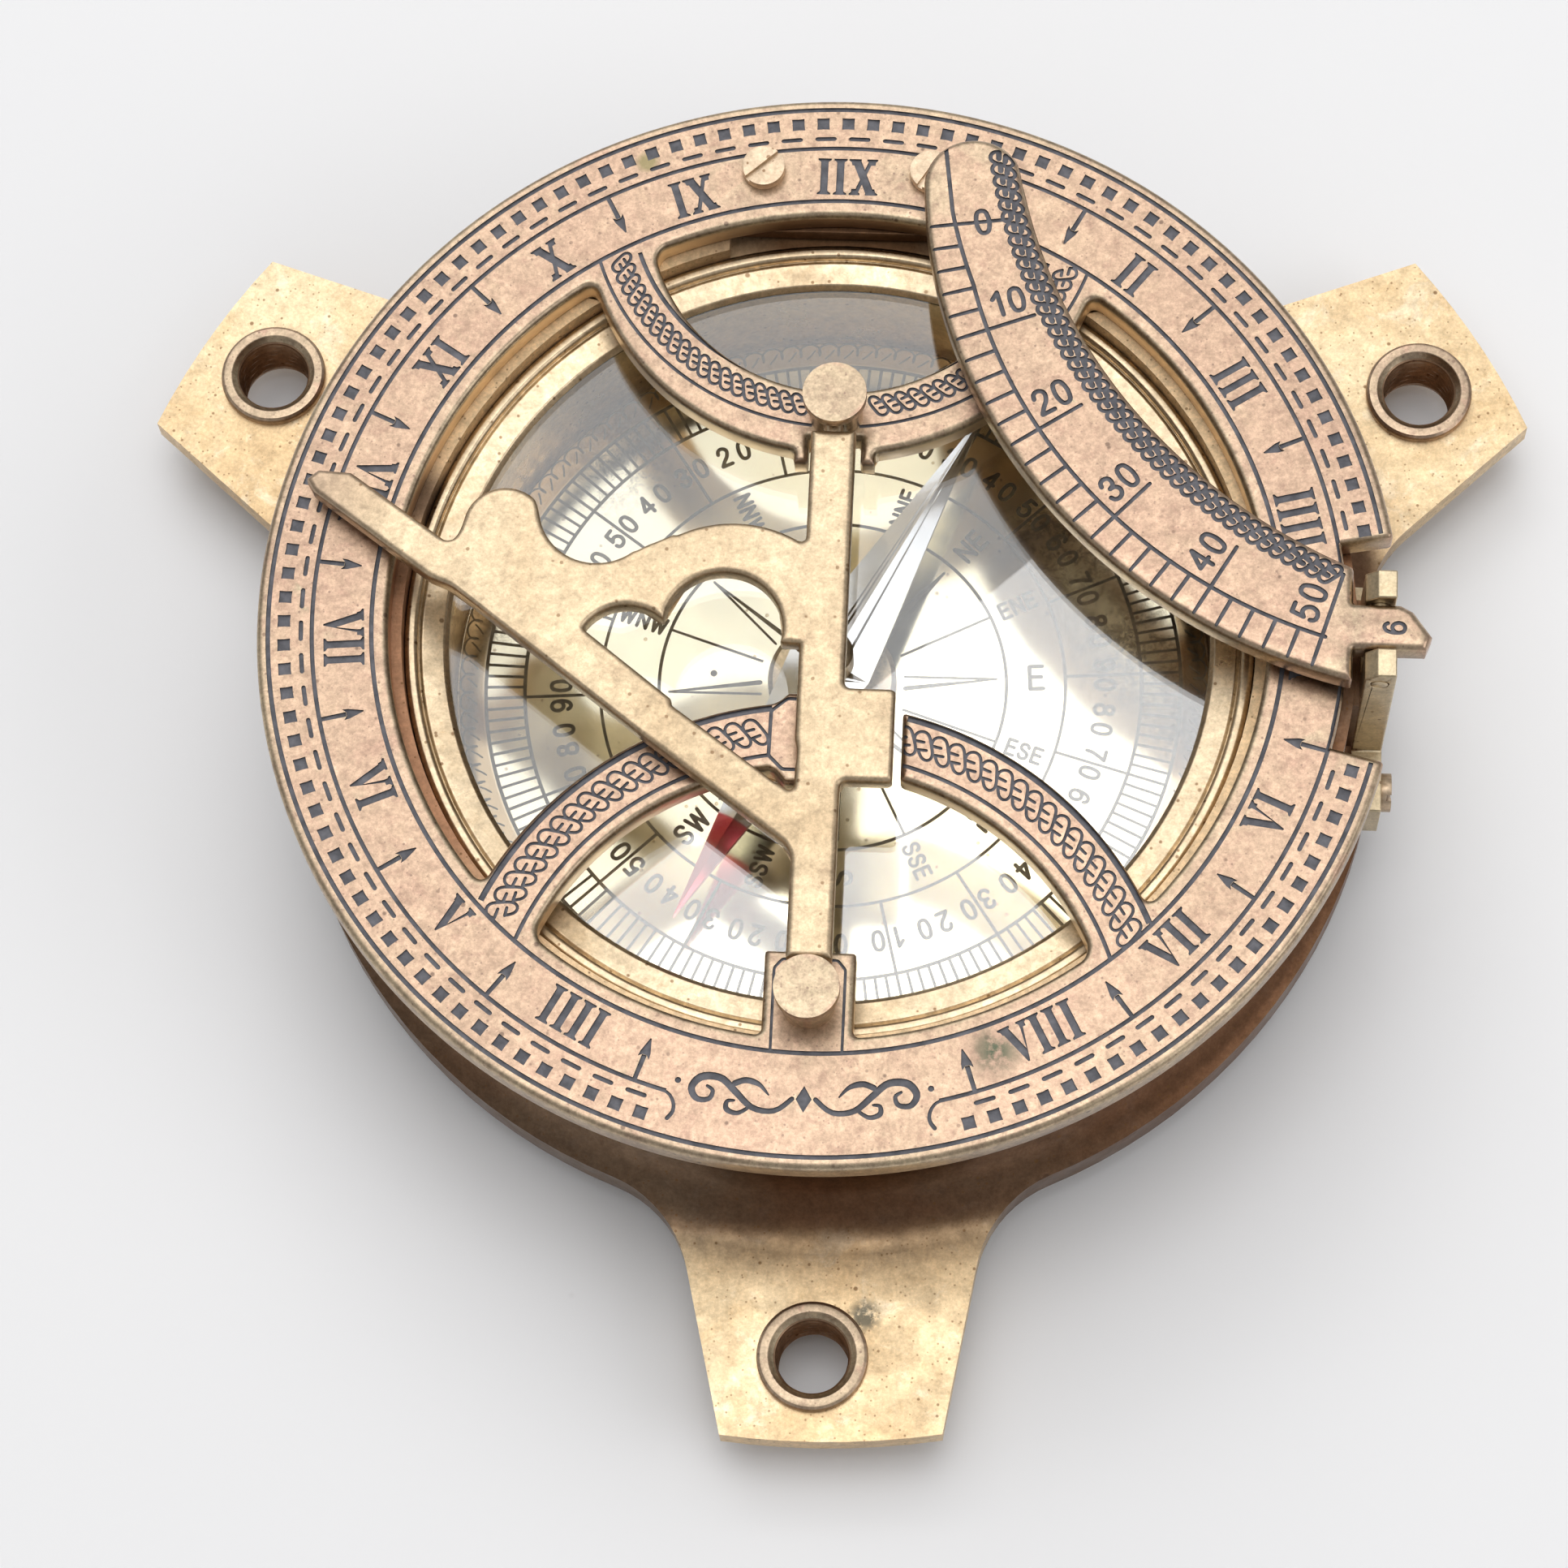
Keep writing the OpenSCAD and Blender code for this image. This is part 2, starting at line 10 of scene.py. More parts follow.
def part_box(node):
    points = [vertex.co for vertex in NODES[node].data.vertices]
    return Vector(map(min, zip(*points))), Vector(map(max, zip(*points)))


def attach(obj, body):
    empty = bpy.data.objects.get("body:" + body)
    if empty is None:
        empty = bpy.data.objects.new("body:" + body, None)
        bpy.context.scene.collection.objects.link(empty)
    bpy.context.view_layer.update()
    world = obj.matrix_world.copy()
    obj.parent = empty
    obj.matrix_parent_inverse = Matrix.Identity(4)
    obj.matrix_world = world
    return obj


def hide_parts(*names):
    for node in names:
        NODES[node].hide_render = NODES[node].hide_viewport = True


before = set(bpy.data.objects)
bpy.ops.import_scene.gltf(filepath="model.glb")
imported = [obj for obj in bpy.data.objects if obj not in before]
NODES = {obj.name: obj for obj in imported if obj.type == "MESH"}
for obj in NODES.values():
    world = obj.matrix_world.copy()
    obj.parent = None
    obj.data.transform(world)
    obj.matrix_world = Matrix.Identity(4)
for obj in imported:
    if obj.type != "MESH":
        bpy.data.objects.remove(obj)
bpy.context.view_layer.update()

MM = 0.001
EPS = 0.01                  # a small step in millimetres, to measure slopes
ORIGIN = (0, 0)


def mm_box(node):
    """A CAD node's lowest and highest corner in millimetres."""
    lo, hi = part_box(node)
    return np.array(lo) / MM, np.array(hi) / MM


# ---- flat shapes
# A shape is an array of directed segments, x0 y0 x1 y1 in millimetres, that
# runs counter-clockwise round what it fills.

def loop(points):
    p = np.asarray(points, float)
    area = np.sum(p[:, 0] * np.roll(p[:, 1], -1) - np.roll(p[:, 0], -1) * p[:, 1])
    if area < 0:
        p = p[::-1]
    return np.hstack([p, np.roll(p, -1, axis=0)])


def stroke(points, width, cap=4):
    """An open line of one width, or one width per point, with round ends."""
    p = np.asarray(points, float)
    half = np.broadcast_to(np.asarray(width, float) / 2, (len(p),))
    d = np.gradient(p, axis=0)
    d /= np.maximum(np.linalg.norm(d, axis=1), 1e-9)[:, None]
    n = np.stack([-d[:, 1], d[:, 0]], 1) * half[:, None]
    left, right = p + n, p - n
    a = np.linspace(0, math.pi, cap + 2)[1:-1]
    end = [p[-1] + math.cos(t) * n[-1] + math.sin(t) * half[-1] * d[-1] for t in a]
    start = [p[0] - math.cos(t) * n[0] - math.sin(t) * half[0] * d[0] for t in a]
    return loop(np.vstack([left, end, right[::-1], start]))


def arc_points(c, r, a0, a1, step=1.0):
    """Points on a circle; angles in degrees, clockwise from +Y."""
    n = max(2, int(abs(a1 - a0) / step) + 1)
    t = np.radians(np.linspace(a0, a1, n))
    return np.stack([c[0] + r * np.sin(t), c[1] + r * np.cos(t)], 1)


def band(c, r, width, a0, a1):
    """A circular line from a0 to a1 with square ends."""
    out = arc_points(c, r + width / 2, a0, a1)
    return loop(np.vstack([out, arc_points(c, r - width / 2, a1, a0)]))


def circle_line(r, width):
    """A full circle round the origin, as an outer loop and a reversed inner loop."""
    out = loop(arc_points(ORIGIN, r + width / 2, 0, 359))
    inn = loop(arc_points(ORIGIN, r - width / 2, 0, 359))
    return np.vstack([out, inn[:, [2, 3, 0, 1]]])


def tick(half, r0, r1):
    """A straight line along Y."""
    return loop([(-half, r0), (half, r0), (half, r1), (-half, r1)])


def dot(r):
    return loop(arc_points(ORIGIN, r, 0, 330, 30))


def moved(shape, at, turn=0.0):
    """A shape turned clockwise by degrees, and moved."""
    t = math.radians(-turn)
    m = np.array([[math.cos(t), -math.sin(t)], [math.sin(t), math.cos(t)]])
    return (shape.reshape(-1, 2) @ m.T + np.asarray(at)).reshape(-1, 4)


def polar(r, angle):
    """A point at an angle in degrees, clockwise from +Y."""
    return r * math.sin(math.radians(angle)), r * math.cos(math.radians(angle))


def on_circle(shapes, r, angle, turn=0):
    """Shapes drawn round (0, 0) go onto a circle, up pointing outwards unless turned."""
    return [moved(s, polar(r, angle), angle + turn) for s in shapes]


def wrapped(points, c, r, angle, clockwise=True):
    """Points (along, up) bent onto a circle at an angle, up pointing outwards."""
    p = np.asarray(points, float)
    t = math.radians(angle) + (1 if clockwise else -1) * p[:, 0] / r
    rad = r + p[:, 1]
    return np.stack([c[0] + rad * np.sin(t), c[1] + rad * np.cos(t)], 1)


# Roman numerals: strokes 4 mm tall, drawn upright round the middle of the line
NUMERAL_H = 3.95
STEM = 0.74
HAIR = 0.4
SERIF = 1.32


def foot(x, y, width, up):
    """A bracketed serif at (x, y); up is 1 where the stem rises from it."""
    w, t = width / 2, 0.23
    pts = [(-w, 0), (w, 0), (w, t * 0.8), (w * 0.62, t * 1.5), (0.3, t * 3),
           (-0.3, t * 3), (-w * 0.62, t * 1.5), (-w, t * 0.8)]
    return loop([(x + a, y + up * b) for a, b in pts])


def leg(x0, y0, x1, y1, width):
    """A straight stem whose ends are level."""
    w = width / 2 * math.hypot(x1 - x0, y1 - y0) / abs(y1 - y0)
    return loop([(x0 - w, y0), (x0 + w, y0), (x1 + w, y1), (x1 - w, y1)])


def roman_letter(letter):
    h = NUMERAL_H / 2
    if letter == "I":
        return 1.58, [leg(0, -h, 0, h, STEM), foot(0, -h, SERIF, 1), foot(0, h, SERIF, -1)]
    if letter == "V":
        shape = loop([(-1.22, h), (-0.42, h), (0.34, -h + 1.25), (0.78, h), (1.14, h),
                      (0.12, -h), (-0.05, -h)])
        return 2.66, [shape, foot(-0.82, h, 1.24, -1), foot(0.96, h, 0.98, -1)]
    arms = [leg(0.78, -h, -0.78, h, STEM + 0.08), leg(-0.8, -h, 0.8, h, HAIR)]
    feet = [foot(0.84, -h, 1.22, 1), foot(-0.86, -h, 1.08, 1),
            foot(-0.84, h, 1.22, -1), foot(0.84, h, 1.08, -1)]
    return 3.0, arms + feet


def roman(text):
    parts = [roman_letter(c) for c in text]
    x, out = -sum(w for w, _ in parts) / 2, []
    for w, shapes in parts:
        out += [moved(s, (x + w / 2, 0)) for s in shapes]
        x += w
    return out


# Figures and letters: advance and lines, in hundredths of their height. "|" parts the
# lines, and a line that starts with "~" is rounded.
FIGURES = {
    "0": (56, "~28,100 10,90 2,50 10,10 28,0 46,10 54,50 46,90 28,100"),
    "1": (40, "4,74 30,100 30,0"),
    "2": (56, "~3,74 10,93 28,100 47,91 52,73 42,48 20,25 2,2|2,0 56,0"),
    "3": (56, "~4,80 12,95 28,100 46,92 50,74 42,58 24,52|~24,52 45,46 55,27 46,7 27,0 10,6 2,22"),
    "4": (60, "43,0 43,100 2,30 58,30"),
    "5": (56, "50,100 12,100 6,50|~6,50 26,62 46,54 55,32 46,8 25,0 8,6 2,22"),
    "6": (56, "~50,84 42,96 28,100 10,87 2,50 8,12 28,0 47,8 55,31 46,54 28,62 10,52 4,36"),
    "7": (56, "3,100 54,100|~54,100 36,64 24,30 20,0"),
    "8": (56, "~28,100 10,92 8,68 28,54 48,68 46,92 28,100|~28,54 6,43 4,12 28,0 52,12 50,43 28,54"),
    "9": (56, "~6,16 14,4 28,0 46,13 54,50 48,88 28,100 9,92 1,69 10,46 28,38 46,48 52,64"),
    "N": (64, "2,0 2,100 62,0 62,100"),
    "E": (56, "54,100 2,100 2,0 56,0|2,53 50,53"),
    "S": (58, "~54,80 46,95 28,100 10,94 4,76 12,60 30,52 48,43 56,26 47,6 28,0 10,5 1,23"),
    "W": (90, "1,100 22,0 45,97 68,0 89,100"),
}


def text_shapes(text, height, width, spacing=0.28):
    """Figures or letters of one line width, centred on (0, 0)."""
    tall = height - width
    total = sum(FIGURES[c][0] / 100 for c in text) + spacing * (len(text) - 1)
    x, out = -total / 2, []
    for c in text:
        advance, lines = FIGURES[c]
        for line in lines.split("|"):
            grid = [[int(v) / 100 for v in q.split(",")] for q in line.strip("~").split()]
            p = (np.array(grid) + (x, -0.5)) * tall
            if line[0] == "~":
                out.append(stroke(smooth_line(p, 4 * len(p)), width))
            else:
                out += [stroke([q, r], width) for q, r in zip(p, p[1:])]
        x += advance / 100 + spacing
    return out


def inside(shape, p):
    """Which points lie in a shape, by winding number."""
    x0, y0, x1, y1 = shape.T
    py, px = p[:, 1][:, None], p[:, 0][:, None]
    up = (y0 <= py) & (y1 > py)
    down = (y1 <= py) & (y0 > py)
    dy = np.where(y1 == y0, 1.0, y1 - y0)
    cross = (x0 + (py - y0) * (x1 - x0) / dy) > px
    return ((up & cross).sum(1) - (down & cross).sum(1)) != 0


# ---- distance fields
# Each returns the signed distance of points to an outline, negative inside.

def sd_circle(p, c, r):
    return np.hypot(p[:, 0] - c[0], p[:, 1] - c[1]) - r


def sd_box(p, lo, hi):
    c = (np.asarray(lo, float) + hi) / 2
    q = np.abs(p - c) - (np.asarray(hi, float) - lo) / 2
    return np.linalg.norm(np.maximum(q, 0), axis=1) + np.minimum(q.max(1), 0)


def sd_poly(p, pts):
    v = np.asarray(pts, float)
    best = np.full(len(p), 1e9)
    for a, b in zip(v, np.roll(v, -1, axis=0)):
        e = b - a
        w = p - a
        t = np.clip((w @ e) / (e @ e), 0, 1)
        best = np.minimum(best, ((w - t[:, None] * e) ** 2).sum(1))
    d = np.sqrt(best)
    return np.where(inside(loop(v), p), -d, d)


def join(a, b, r=0.0):
    """Union; r rounds the hollow corner between the two."""
    if not r:
        return np.minimum(a, b)
    u = np.hypot(np.maximum(r - a, 0), np.maximum(r - b, 0))
    return np.maximum(r, np.minimum(a, b)) - u


def meet(a, b, r=0.0):
    """Intersection; r rounds the corner."""
    return -join(-a, -b, r)


def cut(a, b, r=0.0):
    return meet(a, -b, r)


def slope(of, p):
    """A distance field's gradient at points."""
    return np.stack([of(p + (EPS, 0)) - of(p), of(p + (0, EPS)) - of(p)], 1) / EPS


# Marching squares: for each case of a cell's corners, the pairs of sides that a line joins
CELL_LINES = {1: [(3, 0)], 2: [(0, 1)], 3: [(3, 1)], 4: [(1, 2)], 5: [(3, 0), (1, 2)],
              6: [(0, 2)], 7: [(3, 2)], 8: [(2, 3)], 9: [(2, 0)], 10: [(0, 1), (2, 3)],
              11: [(2, 1)], 12: [(1, 3)], 13: [(1, 0)], 14: [(0, 3)]}


def contour(of, grid, xs, ys, level):
    """Points and segments of the line where a distance field has a value."""
    f = grid - level
    s = f < 0
    h = s[:-1, :] != s[1:, :]
    v = s[:, :-1] != s[:, 1:]
    hid = np.full(h.shape, -1)
    hid[h] = np.arange(h.sum())
    vid = np.full(v.shape, -1)
    vid[v] = np.arange(v.sum()) + h.sum()
    step = xs[1] - xs[0]
    i, j = np.nonzero(h)
    across = np.stack([xs[i] + f[i, j] / (f[i, j] - f[i + 1, j]) * step, ys[j]], 1)
    i, j = np.nonzero(v)
    up = np.stack([xs[i], ys[j] + f[i, j] / (f[i, j] - f[i, j + 1]) * step], 1)
    pts = np.vstack([across, up])
    case = s[:-1, :-1] * 1 + s[1:, :-1] * 2 + s[1:, 1:] * 4 + s[:-1, 1:] * 8
    sides = [hid[:, :-1], vid[1:, :], hid[:, 1:], vid[:-1, :]]
    segs = [np.stack([sides[a][case == k], sides[b][case == k]], 1)
            for k, pairs in CELL_LINES.items() for a, b in pairs]
    for _ in range(3):
        g = slope(of, pts)
        n = np.maximum((g ** 2).sum(1), 0.25)
        pts = pts - np.clip((of(pts) - level) / n, -step, step)[:, None] * g
    return pts, np.vstack(segs)


BEND_KEPT = 0.12            # a bend in radians that keeps a point of an outline
GAP_MIN = 0.08


def thin_out(pts, segs, keep):
    """Joins short segments of closed lines so that about one in keep points stays."""
    nxt = {}
    for a, b in segs:
        nxt.setdefault(int(a), []).append(int(b))
        nxt.setdefault(int(b), []).append(int(a))
    seen, out_p, out_s = set(), [], []
    for start in nxt:
        if start in seen or len(nxt[start]) != 2:
            continue
        ring, prev, cur = [start], None, start
        seen.add(start)
        while True:
            step = [q for q in nxt[cur] if q != prev and q not in seen]
            if not step:
                break
            prev, cur = cur, step[0]
            seen.add(cur)
            ring.append(cur)
        p = pts[ring]
        turn = np.roll(p, -2, axis=0) - p
        turn = np.unwrap(np.arctan2(turn[:, 1], turn[:, 0]))
        kept, last = [0], 0
        gap = np.linalg.norm(np.diff(p, axis=0), axis=1)
        run = 0.0
        for q in range(1, len(p)):
            run += gap[q - 1]
            if run > keep or (abs(turn[q] - turn[last]) > BEND_KEPT and run > GAP_MIN):
                kept.append(q)
                last, run = q, 0.0
        if len(kept) < 4:
            continue
        base = len(out_p)
        out_p += [p[q] for q in kept]
        out_s += [(base + a, base + (a + 1) % len(kept)) for a in range(len(kept))]
    return np.array(out_p), np.array(out_s)


# ---- plates with engraving

def new_object(name, verts, faces, materials, face_mat=None, sharp_angle=None):
    """A mesh object; shaded smooth up to an angle where one is given."""
    mesh = bpy.data.meshes.new(name)
    mesh.from_pydata([tuple(v) for v in verts], [], [tuple(f) for f in faces])
    for m in materials:
        mesh.materials.append(m)
    if face_mat is not None:
        mesh.polygons.foreach_set("material_index", np.asarray(face_mat, np.int32))
    if sharp_angle:
        mesh.polygons.foreach_set("use_smooth", [True] * len(faces))
        sharpen(mesh, sharp_angle)
    mesh.update()
    obj = bpy.data.objects.new(name, mesh)
    bpy.context.scene.collection.objects.link(obj)
    return obj


def triangulate(points, edges):
    out = delaunay_2d_cdt([Vector(p) for p in points], [tuple(e) for e in edges],
                          [], 0, 1e-5, False)
    verts = np.array([tuple(v) for v in out[0]])
    tris = np.array([f for f in out[2] if len(f) == 3])
    a, b, c = verts[tris[:, 0]], verts[tris[:, 1]], verts[tris[:, 2]]
    area = (b[:, 0] - a[:, 0]) * (c[:, 1] - a[:, 1]) - (b[:, 1] - a[:, 1]) * (c[:, 0] - a[:, 0])
    tris[area < 0] = tris[area < 0][:, ::-1]
    return verts, tris


ROUNDING = (0.0, 0.05, 0.17, 0.36, 0.62, 1.0)   # shares of a rounded edge's width
SHARP = 0.6                 # a bend in radians that stays a hard edge


def edge_drop(d, width, depth):
    """How far a rounded edge lies below the face, d inside the outline."""
    t = np.clip(1 - d / width, 0, 1)
    return depth * (1 - np.sqrt(np.maximum(1 - t * t, 0)))


def mark_inside(shapes, points):
    """Which points lie in any of the shapes."""
    hit = np.zeros(len(points), bool)
    order = np.argsort(points[:, 0])
    xs = points[order, 0]
    for s in shapes:
        q = s.reshape(-1, 2)
        lo, hi = q.min(0), q.max(0)
        i0, i1 = np.searchsorted(xs, (lo[0], hi[0]))
        ids = order[i0:i1]
        y = points[ids, 1]
        ids = ids[(y > lo[1]) & (y < hi[1]) & ~hit[ids]]
        for part in np.array_split(ids, len(ids) // 4000 + 1):
            if len(part):
                hit[part] = inside(s, points[part])
    return hit


def layout(of, lo, hi, edge, engraving, step, keep):
    """The upper face's points and triangles, with lines at its edges and grooves."""
    xs, ys = (np.arange(lo[k], hi[k] + step, step) for k in (0, 1))
    cells = np.stack(np.meshgrid(xs, ys, indexing="ij"), -1)
    grid = of(cells.reshape(-1, 2)).reshape(cells.shape[:2])
    lines = [thin_out(*contour(of, grid, xs, ys, -share * edge), keep) for share in ROUNDING]
    lines += [(s.reshape(-1, 2), np.arange(2 * len(s)).reshape(-1, 2)) for s in engraving]
    pts, edges, count = [], [], 0
    for p, e in lines:
        pts.append(p)
        edges.append(e + count)
        count += len(p)
    verts, tris = triangulate(np.vstack(pts), np.vstack(edges))
    return verts, tris[of(verts[tris].mean(1)) < 0]


def renumbered(chosen, total, first):
    """New numbers for the chosen points, from first on."""
    ids = np.full(total, -1)
    ids[chosen] = np.arange(len(chosen)) + first
    return ids


def borders(tris, groove):
    """The edges of the outline, and those where a groove meets the face."""
    side = {}
    for g, (a, b, c) in zip(groove, tris.tolist()):
        side[a, b] = side[b, c] = side[c, a] = g
    rim = [(a, b) for a, b in side if (b, a) not in side]
    return rim, [(a, b) for (a, b), g in side.items() if g and not side.get((b, a), True)]


def add_sides(points, faces, verts, top_id, rim, of, thick, low_edge):
    """Hangs the sides and the back on the rim of the upper face."""
    rim_ids = sorted({v for e in rim for v in e})
    where = {v: k for k, v in enumerate(rim_ids)}
    pairs = [(where[a], where[b]) for a, b in rim]
    rp = verts[rim_ids]
    grad = slope(of, rp)
    grad /= np.maximum(np.linalg.norm(grad, axis=1), 1e-6)[:, None]
    count = sum(len(p) for p in points)
    rings = [top_id[rim_ids]]
    for inset, level in ((0.0, low_edge - thick), (low_edge * 0.3, low_edge * 0.3 - thick),
                         (low_edge, -thick)):
        points.append(np.column_stack([rp - grad * inset, np.full(len(rp), level)]))
        rings.append(np.arange(len(rp)) + count)
        count += len(rp)
    for upper, lower in zip(rings, rings[1:]):
        faces += [(upper[j], upper[i], lower[i], lower[j]) for i, j in pairs]
    back = rp - grad * low_edge
    bv, bt = triangulate(back, pairs)
    nearest = [int(np.argmin(((back - q) ** 2).sum(1))) for q in bv]
    for t in bt[of(bv[bt].mean(1)) < 0]:
        ids = [nearest[k] for k in t]
        if len(set(ids)) == 3:
            faces.append(tuple(rings[-1][k] for k in ids[::-1]))


def engraved(name, node, of, edge, engraving, depth, mats, step, keep=0.9, low_edge=0.3):
    """A flat node's stand-in, with rounded edges and real grooves in its upper face."""
    lo, hi = mm_box(node)
    verts, tris = layout(of, lo - 1, hi + 1, edge, engraving, step, keep)
    mid = verts[tris].mean(1)
    groove = mark_inside(engraving, mid) & (-of(mid) > ROUNDING[3] * edge)
    z = -edge_drop(np.maximum(-of(verts), 0), edge, edge)
    used, deep = np.unique(tris), np.unique(tris[groove])
    top_id = renumbered(used, len(verts), 0)
    deep_id = renumbered(deep, len(verts), len(used))
    points = [np.column_stack([verts[used], z[used]]),
              np.column_stack([verts[deep], z[deep] - depth])]
    rim, walls = borders(tris, groove)
    faces = [*top_id[tris[~groove]], *deep_id[tris[groove]]]
    faces += [(top_id[a], top_id[b], deep_id[b], deep_id[a]) for a, b in walls]
    mat = [0] * int((~groove).sum()) + [1] * (int(groove.sum()) + len(walls))
    add_sides(points, faces, verts, top_id, rim, of, hi[2] - lo[2], low_edge)
    mat += [0] * (len(faces) - len(mat))
    v = np.vstack(points)
    v[:, 2] += hi[2]
    return new_object(name, v * MM, faces, mats, mat, SHARP)


def sharpen(mesh, angle):
    """Marks edges that bend more than an angle as sharp."""
    normals = np.array([p.normal for p in mesh.polygons], np.float32)
    edge = np.array([corner.edge_index for corner in mesh.loops])
    face = np.repeat(np.arange(len(mesh.polygons)), [p.loop_total for p in mesh.polygons])
    order = np.argsort(edge, kind="stable")
    edge, face, ids = edge[order], face[order], np.arange(len(mesh.edges))
    first, last = np.searchsorted(edge, ids), np.searchsorted(edge, ids, "right") - 1
    bend = (normals[face[first]] * normals[face[last]]).sum(1)
    flags = (last - first != 1) | (bend < math.cos(angle))
    mesh.attributes.new("sharp_edge", "BOOLEAN", "EDGE").data.foreach_set("value", flags)


# ---- materials

class Mat:
    """A small helper that lays out one node material."""

    def __init__(self, name):
        self.mat = bpy.data.materials.new(name)
        self.mat.use_nodes = True
        self.tree = self.mat.node_tree
        self.tree.nodes.clear()
        self.out = self.node("ShaderNodeOutputMaterial")
        self.bsdf = self.node("ShaderNodeBsdfPrincipled")
        self.link(self.bsdf, "BSDF", self.out, "Surface")
        self.where = self.node("ShaderNodeTexCoord")

    def node(self, kind, **values):
        n = self.tree.nodes.new(kind)
        for k, v in values.items():
            setattr(n, k, v)
        return n

    def link(self, a, out, b, into):
        self.tree.links.new(a.outputs[out], b.inputs[into])

    def placed(self, kind, into, **values):
        """A node that works on the object's own coordinates."""
        n = self.node(kind, **values)
        self.link(self.where, "Object", n, into)
        return n

    def noise(self, scale, detail=4.0, rough=0.55, stretch=None, distort=0.0):
        n = self.placed("ShaderNodeTexNoise", "Vector")
        for k, v in (("Scale", scale), ("Detail", detail), ("Roughness", rough),
                     ("Distortion", distort)):
            n.inputs[k].default_value = v
        if stretch:
            m = self.placed("ShaderNodeMapping", "Vector")
            m.inputs["Scale"].default_value = stretch[:3]
            m.inputs["Rotation"].default_value = (0, 0, stretch[3])
            self.link(m, "Vector", n, "Vector")
        return n.outputs["Fac"]

    def grey(self, value, lo, hi, a=0.0, b=1.0):
        """Maps a value from lo..hi to a..b, held at the ends."""
        m = self.node("ShaderNodeMapRange")
        m.clamp = True
        for k, v in zip(("From Min", "From Max", "To Min", "To Max"), (lo, hi, a, b)):
            m.inputs[k].default_value = v
        self.tree.links.new(value, m.inputs["Value"])
        return m.outputs["Result"]

    def fill(self, socket, v):
        """Gives a socket a number or a colour, or links another socket to it."""
        if isinstance(v, bpy.types.NodeSocket):
            self.tree.links.new(v, socket)
        else:
            socket.default_value = (*v, 1) if isinstance(v, tuple) else v

    def mix(self, fac, a, b, mode="MIX"):
        m = self.node("ShaderNodeMix", data_type="RGBA", blend_type=mode)
        for k, v in ((0, fac), (6, a), (7, b)):
            self.fill(m.inputs[k], v)
        return m.outputs[2]

    def math(self, op, a, b):
        m = self.node("ShaderNodeMath", operation=op)
        self.fill(m.inputs[0], a)
        self.fill(m.inputs[1], b)
        return m.outputs[0]

    def times(self, a, b):
        return self.math("MULTIPLY", a, b)

    def layers(self, base, *rows):
        """Colours over a base, each by a value mapped from lo..hi to a..b."""
        for value, lo, hi, a, b, colour in rows:
            base = self.mix(self.grey(value, lo, hi, a, b), base, colour)
        return base

    def cover(self, base, share, strength, colour):
        """A colour over a base, by a share times a strength."""
        return self.mix(self.times(share, strength), base, colour)

    def dotted(self, base, *rows):
        """Specks over a base: scale, size, share of the cells, strength and colour."""
        for scale, size, share, strength, colour in rows:
            base = self.cover(base, self.specks(scale, size, share), strength, colour)
        return base

    def mottled(self, base, fine, grain):
        """Multiplies a colour by noise at about 1 mm and 0.3 mm."""
        a = self.grey(self.noise(720, 7, 0.72, distort=0.3), 0.36, 0.64, 1 + fine * 0.35, 1 - fine)
        b = self.grey(self.noise(2900, 4, 0.7), 0.34, 0.66, 1 + grain * 0.5, 1 - grain)
        return self.mix(1.0, base, self.times(a, b), "MULTIPLY")

    def near(self, point, radius, soft):
        """1 close to a point in millimetres, 0 beyond radius + soft."""
        v = self.placed("ShaderNodeVectorMath", 0, operation="DISTANCE")
        v.inputs[1].default_value = [c * MM for c in point]
        return self.grey(v.outputs["Value"], (radius - soft) * MM, (radius + soft) * MM, 1, 0)

    def reach(self):
        """Distance from the dial's axis."""
        flat = self.placed("ShaderNodeVectorMath", 0, operation="MULTIPLY")
        flat.inputs[1].default_value = (1, 1, 0)
        length = self.node("ShaderNodeVectorMath", operation="LENGTH")
        self.link(flat, "Vector", length, 0)
        return length.outputs["Value"]

    def height(self):
        """Height above the table."""
        return self.placed("ShaderNodeSeparateXYZ", "Vector").outputs["Z"]

    def recess(self):
        """Colour inside the drum: golden brass lightened as painted light, brown to the west, and
        painted shade at the hinge.
        """
        wall = self.mix(self.near((-46, -12, 25), 24, 8), RECESS_LIT_GOLD, RECESS_BROWN)
        return self.mix(self.near((0, 44, 26), 13, 6), wall, RECESS_PAINTED_SHADE)

    def specks(self, scale, size, share):
        """Small round specks on a part of the cells."""
        v = self.placed("ShaderNodeTexVoronoi", "Vector")
        v.inputs["Scale"].default_value = scale
        v.inputs["Randomness"].default_value = 1.0
        dot = self.grey(v.outputs["Distance"], size * 0.75, size * 1.25, 1, 0)
        sep = self.node("ShaderNodeSeparateColor")
        self.link(v, "Color", sep, "Color")
        chosen = self.math("LESS_THAN", sep.outputs[0], share)
        return self.times(dot, chosen)

    def corners(self):
        """Above a half on raised edges and below it in hollows."""
        return self.node("ShaderNodeNewGeometry").outputs["Pointiness"]

    def set(self, **values):
        """Sets the shader's sockets by name."""
        for k, v in values.items():
            self.fill(self.bsdf.inputs[k.replace("_", " ")], v)

    def bump(self, value, strength, distance, under=None):
        b = self.node("ShaderNodeBump")
        b.inputs["Strength"].default_value = strength
        b.inputs["Distance"].default_value = distance * MM
        self.tree.links.new(value, b.inputs["Height"])
        if under is not None:
            self.tree.links.new(under, b.inputs["Normal"])
        self.link(b, "Normal", self.bsdf, "Normal")
        return b.outputs["Normal"]


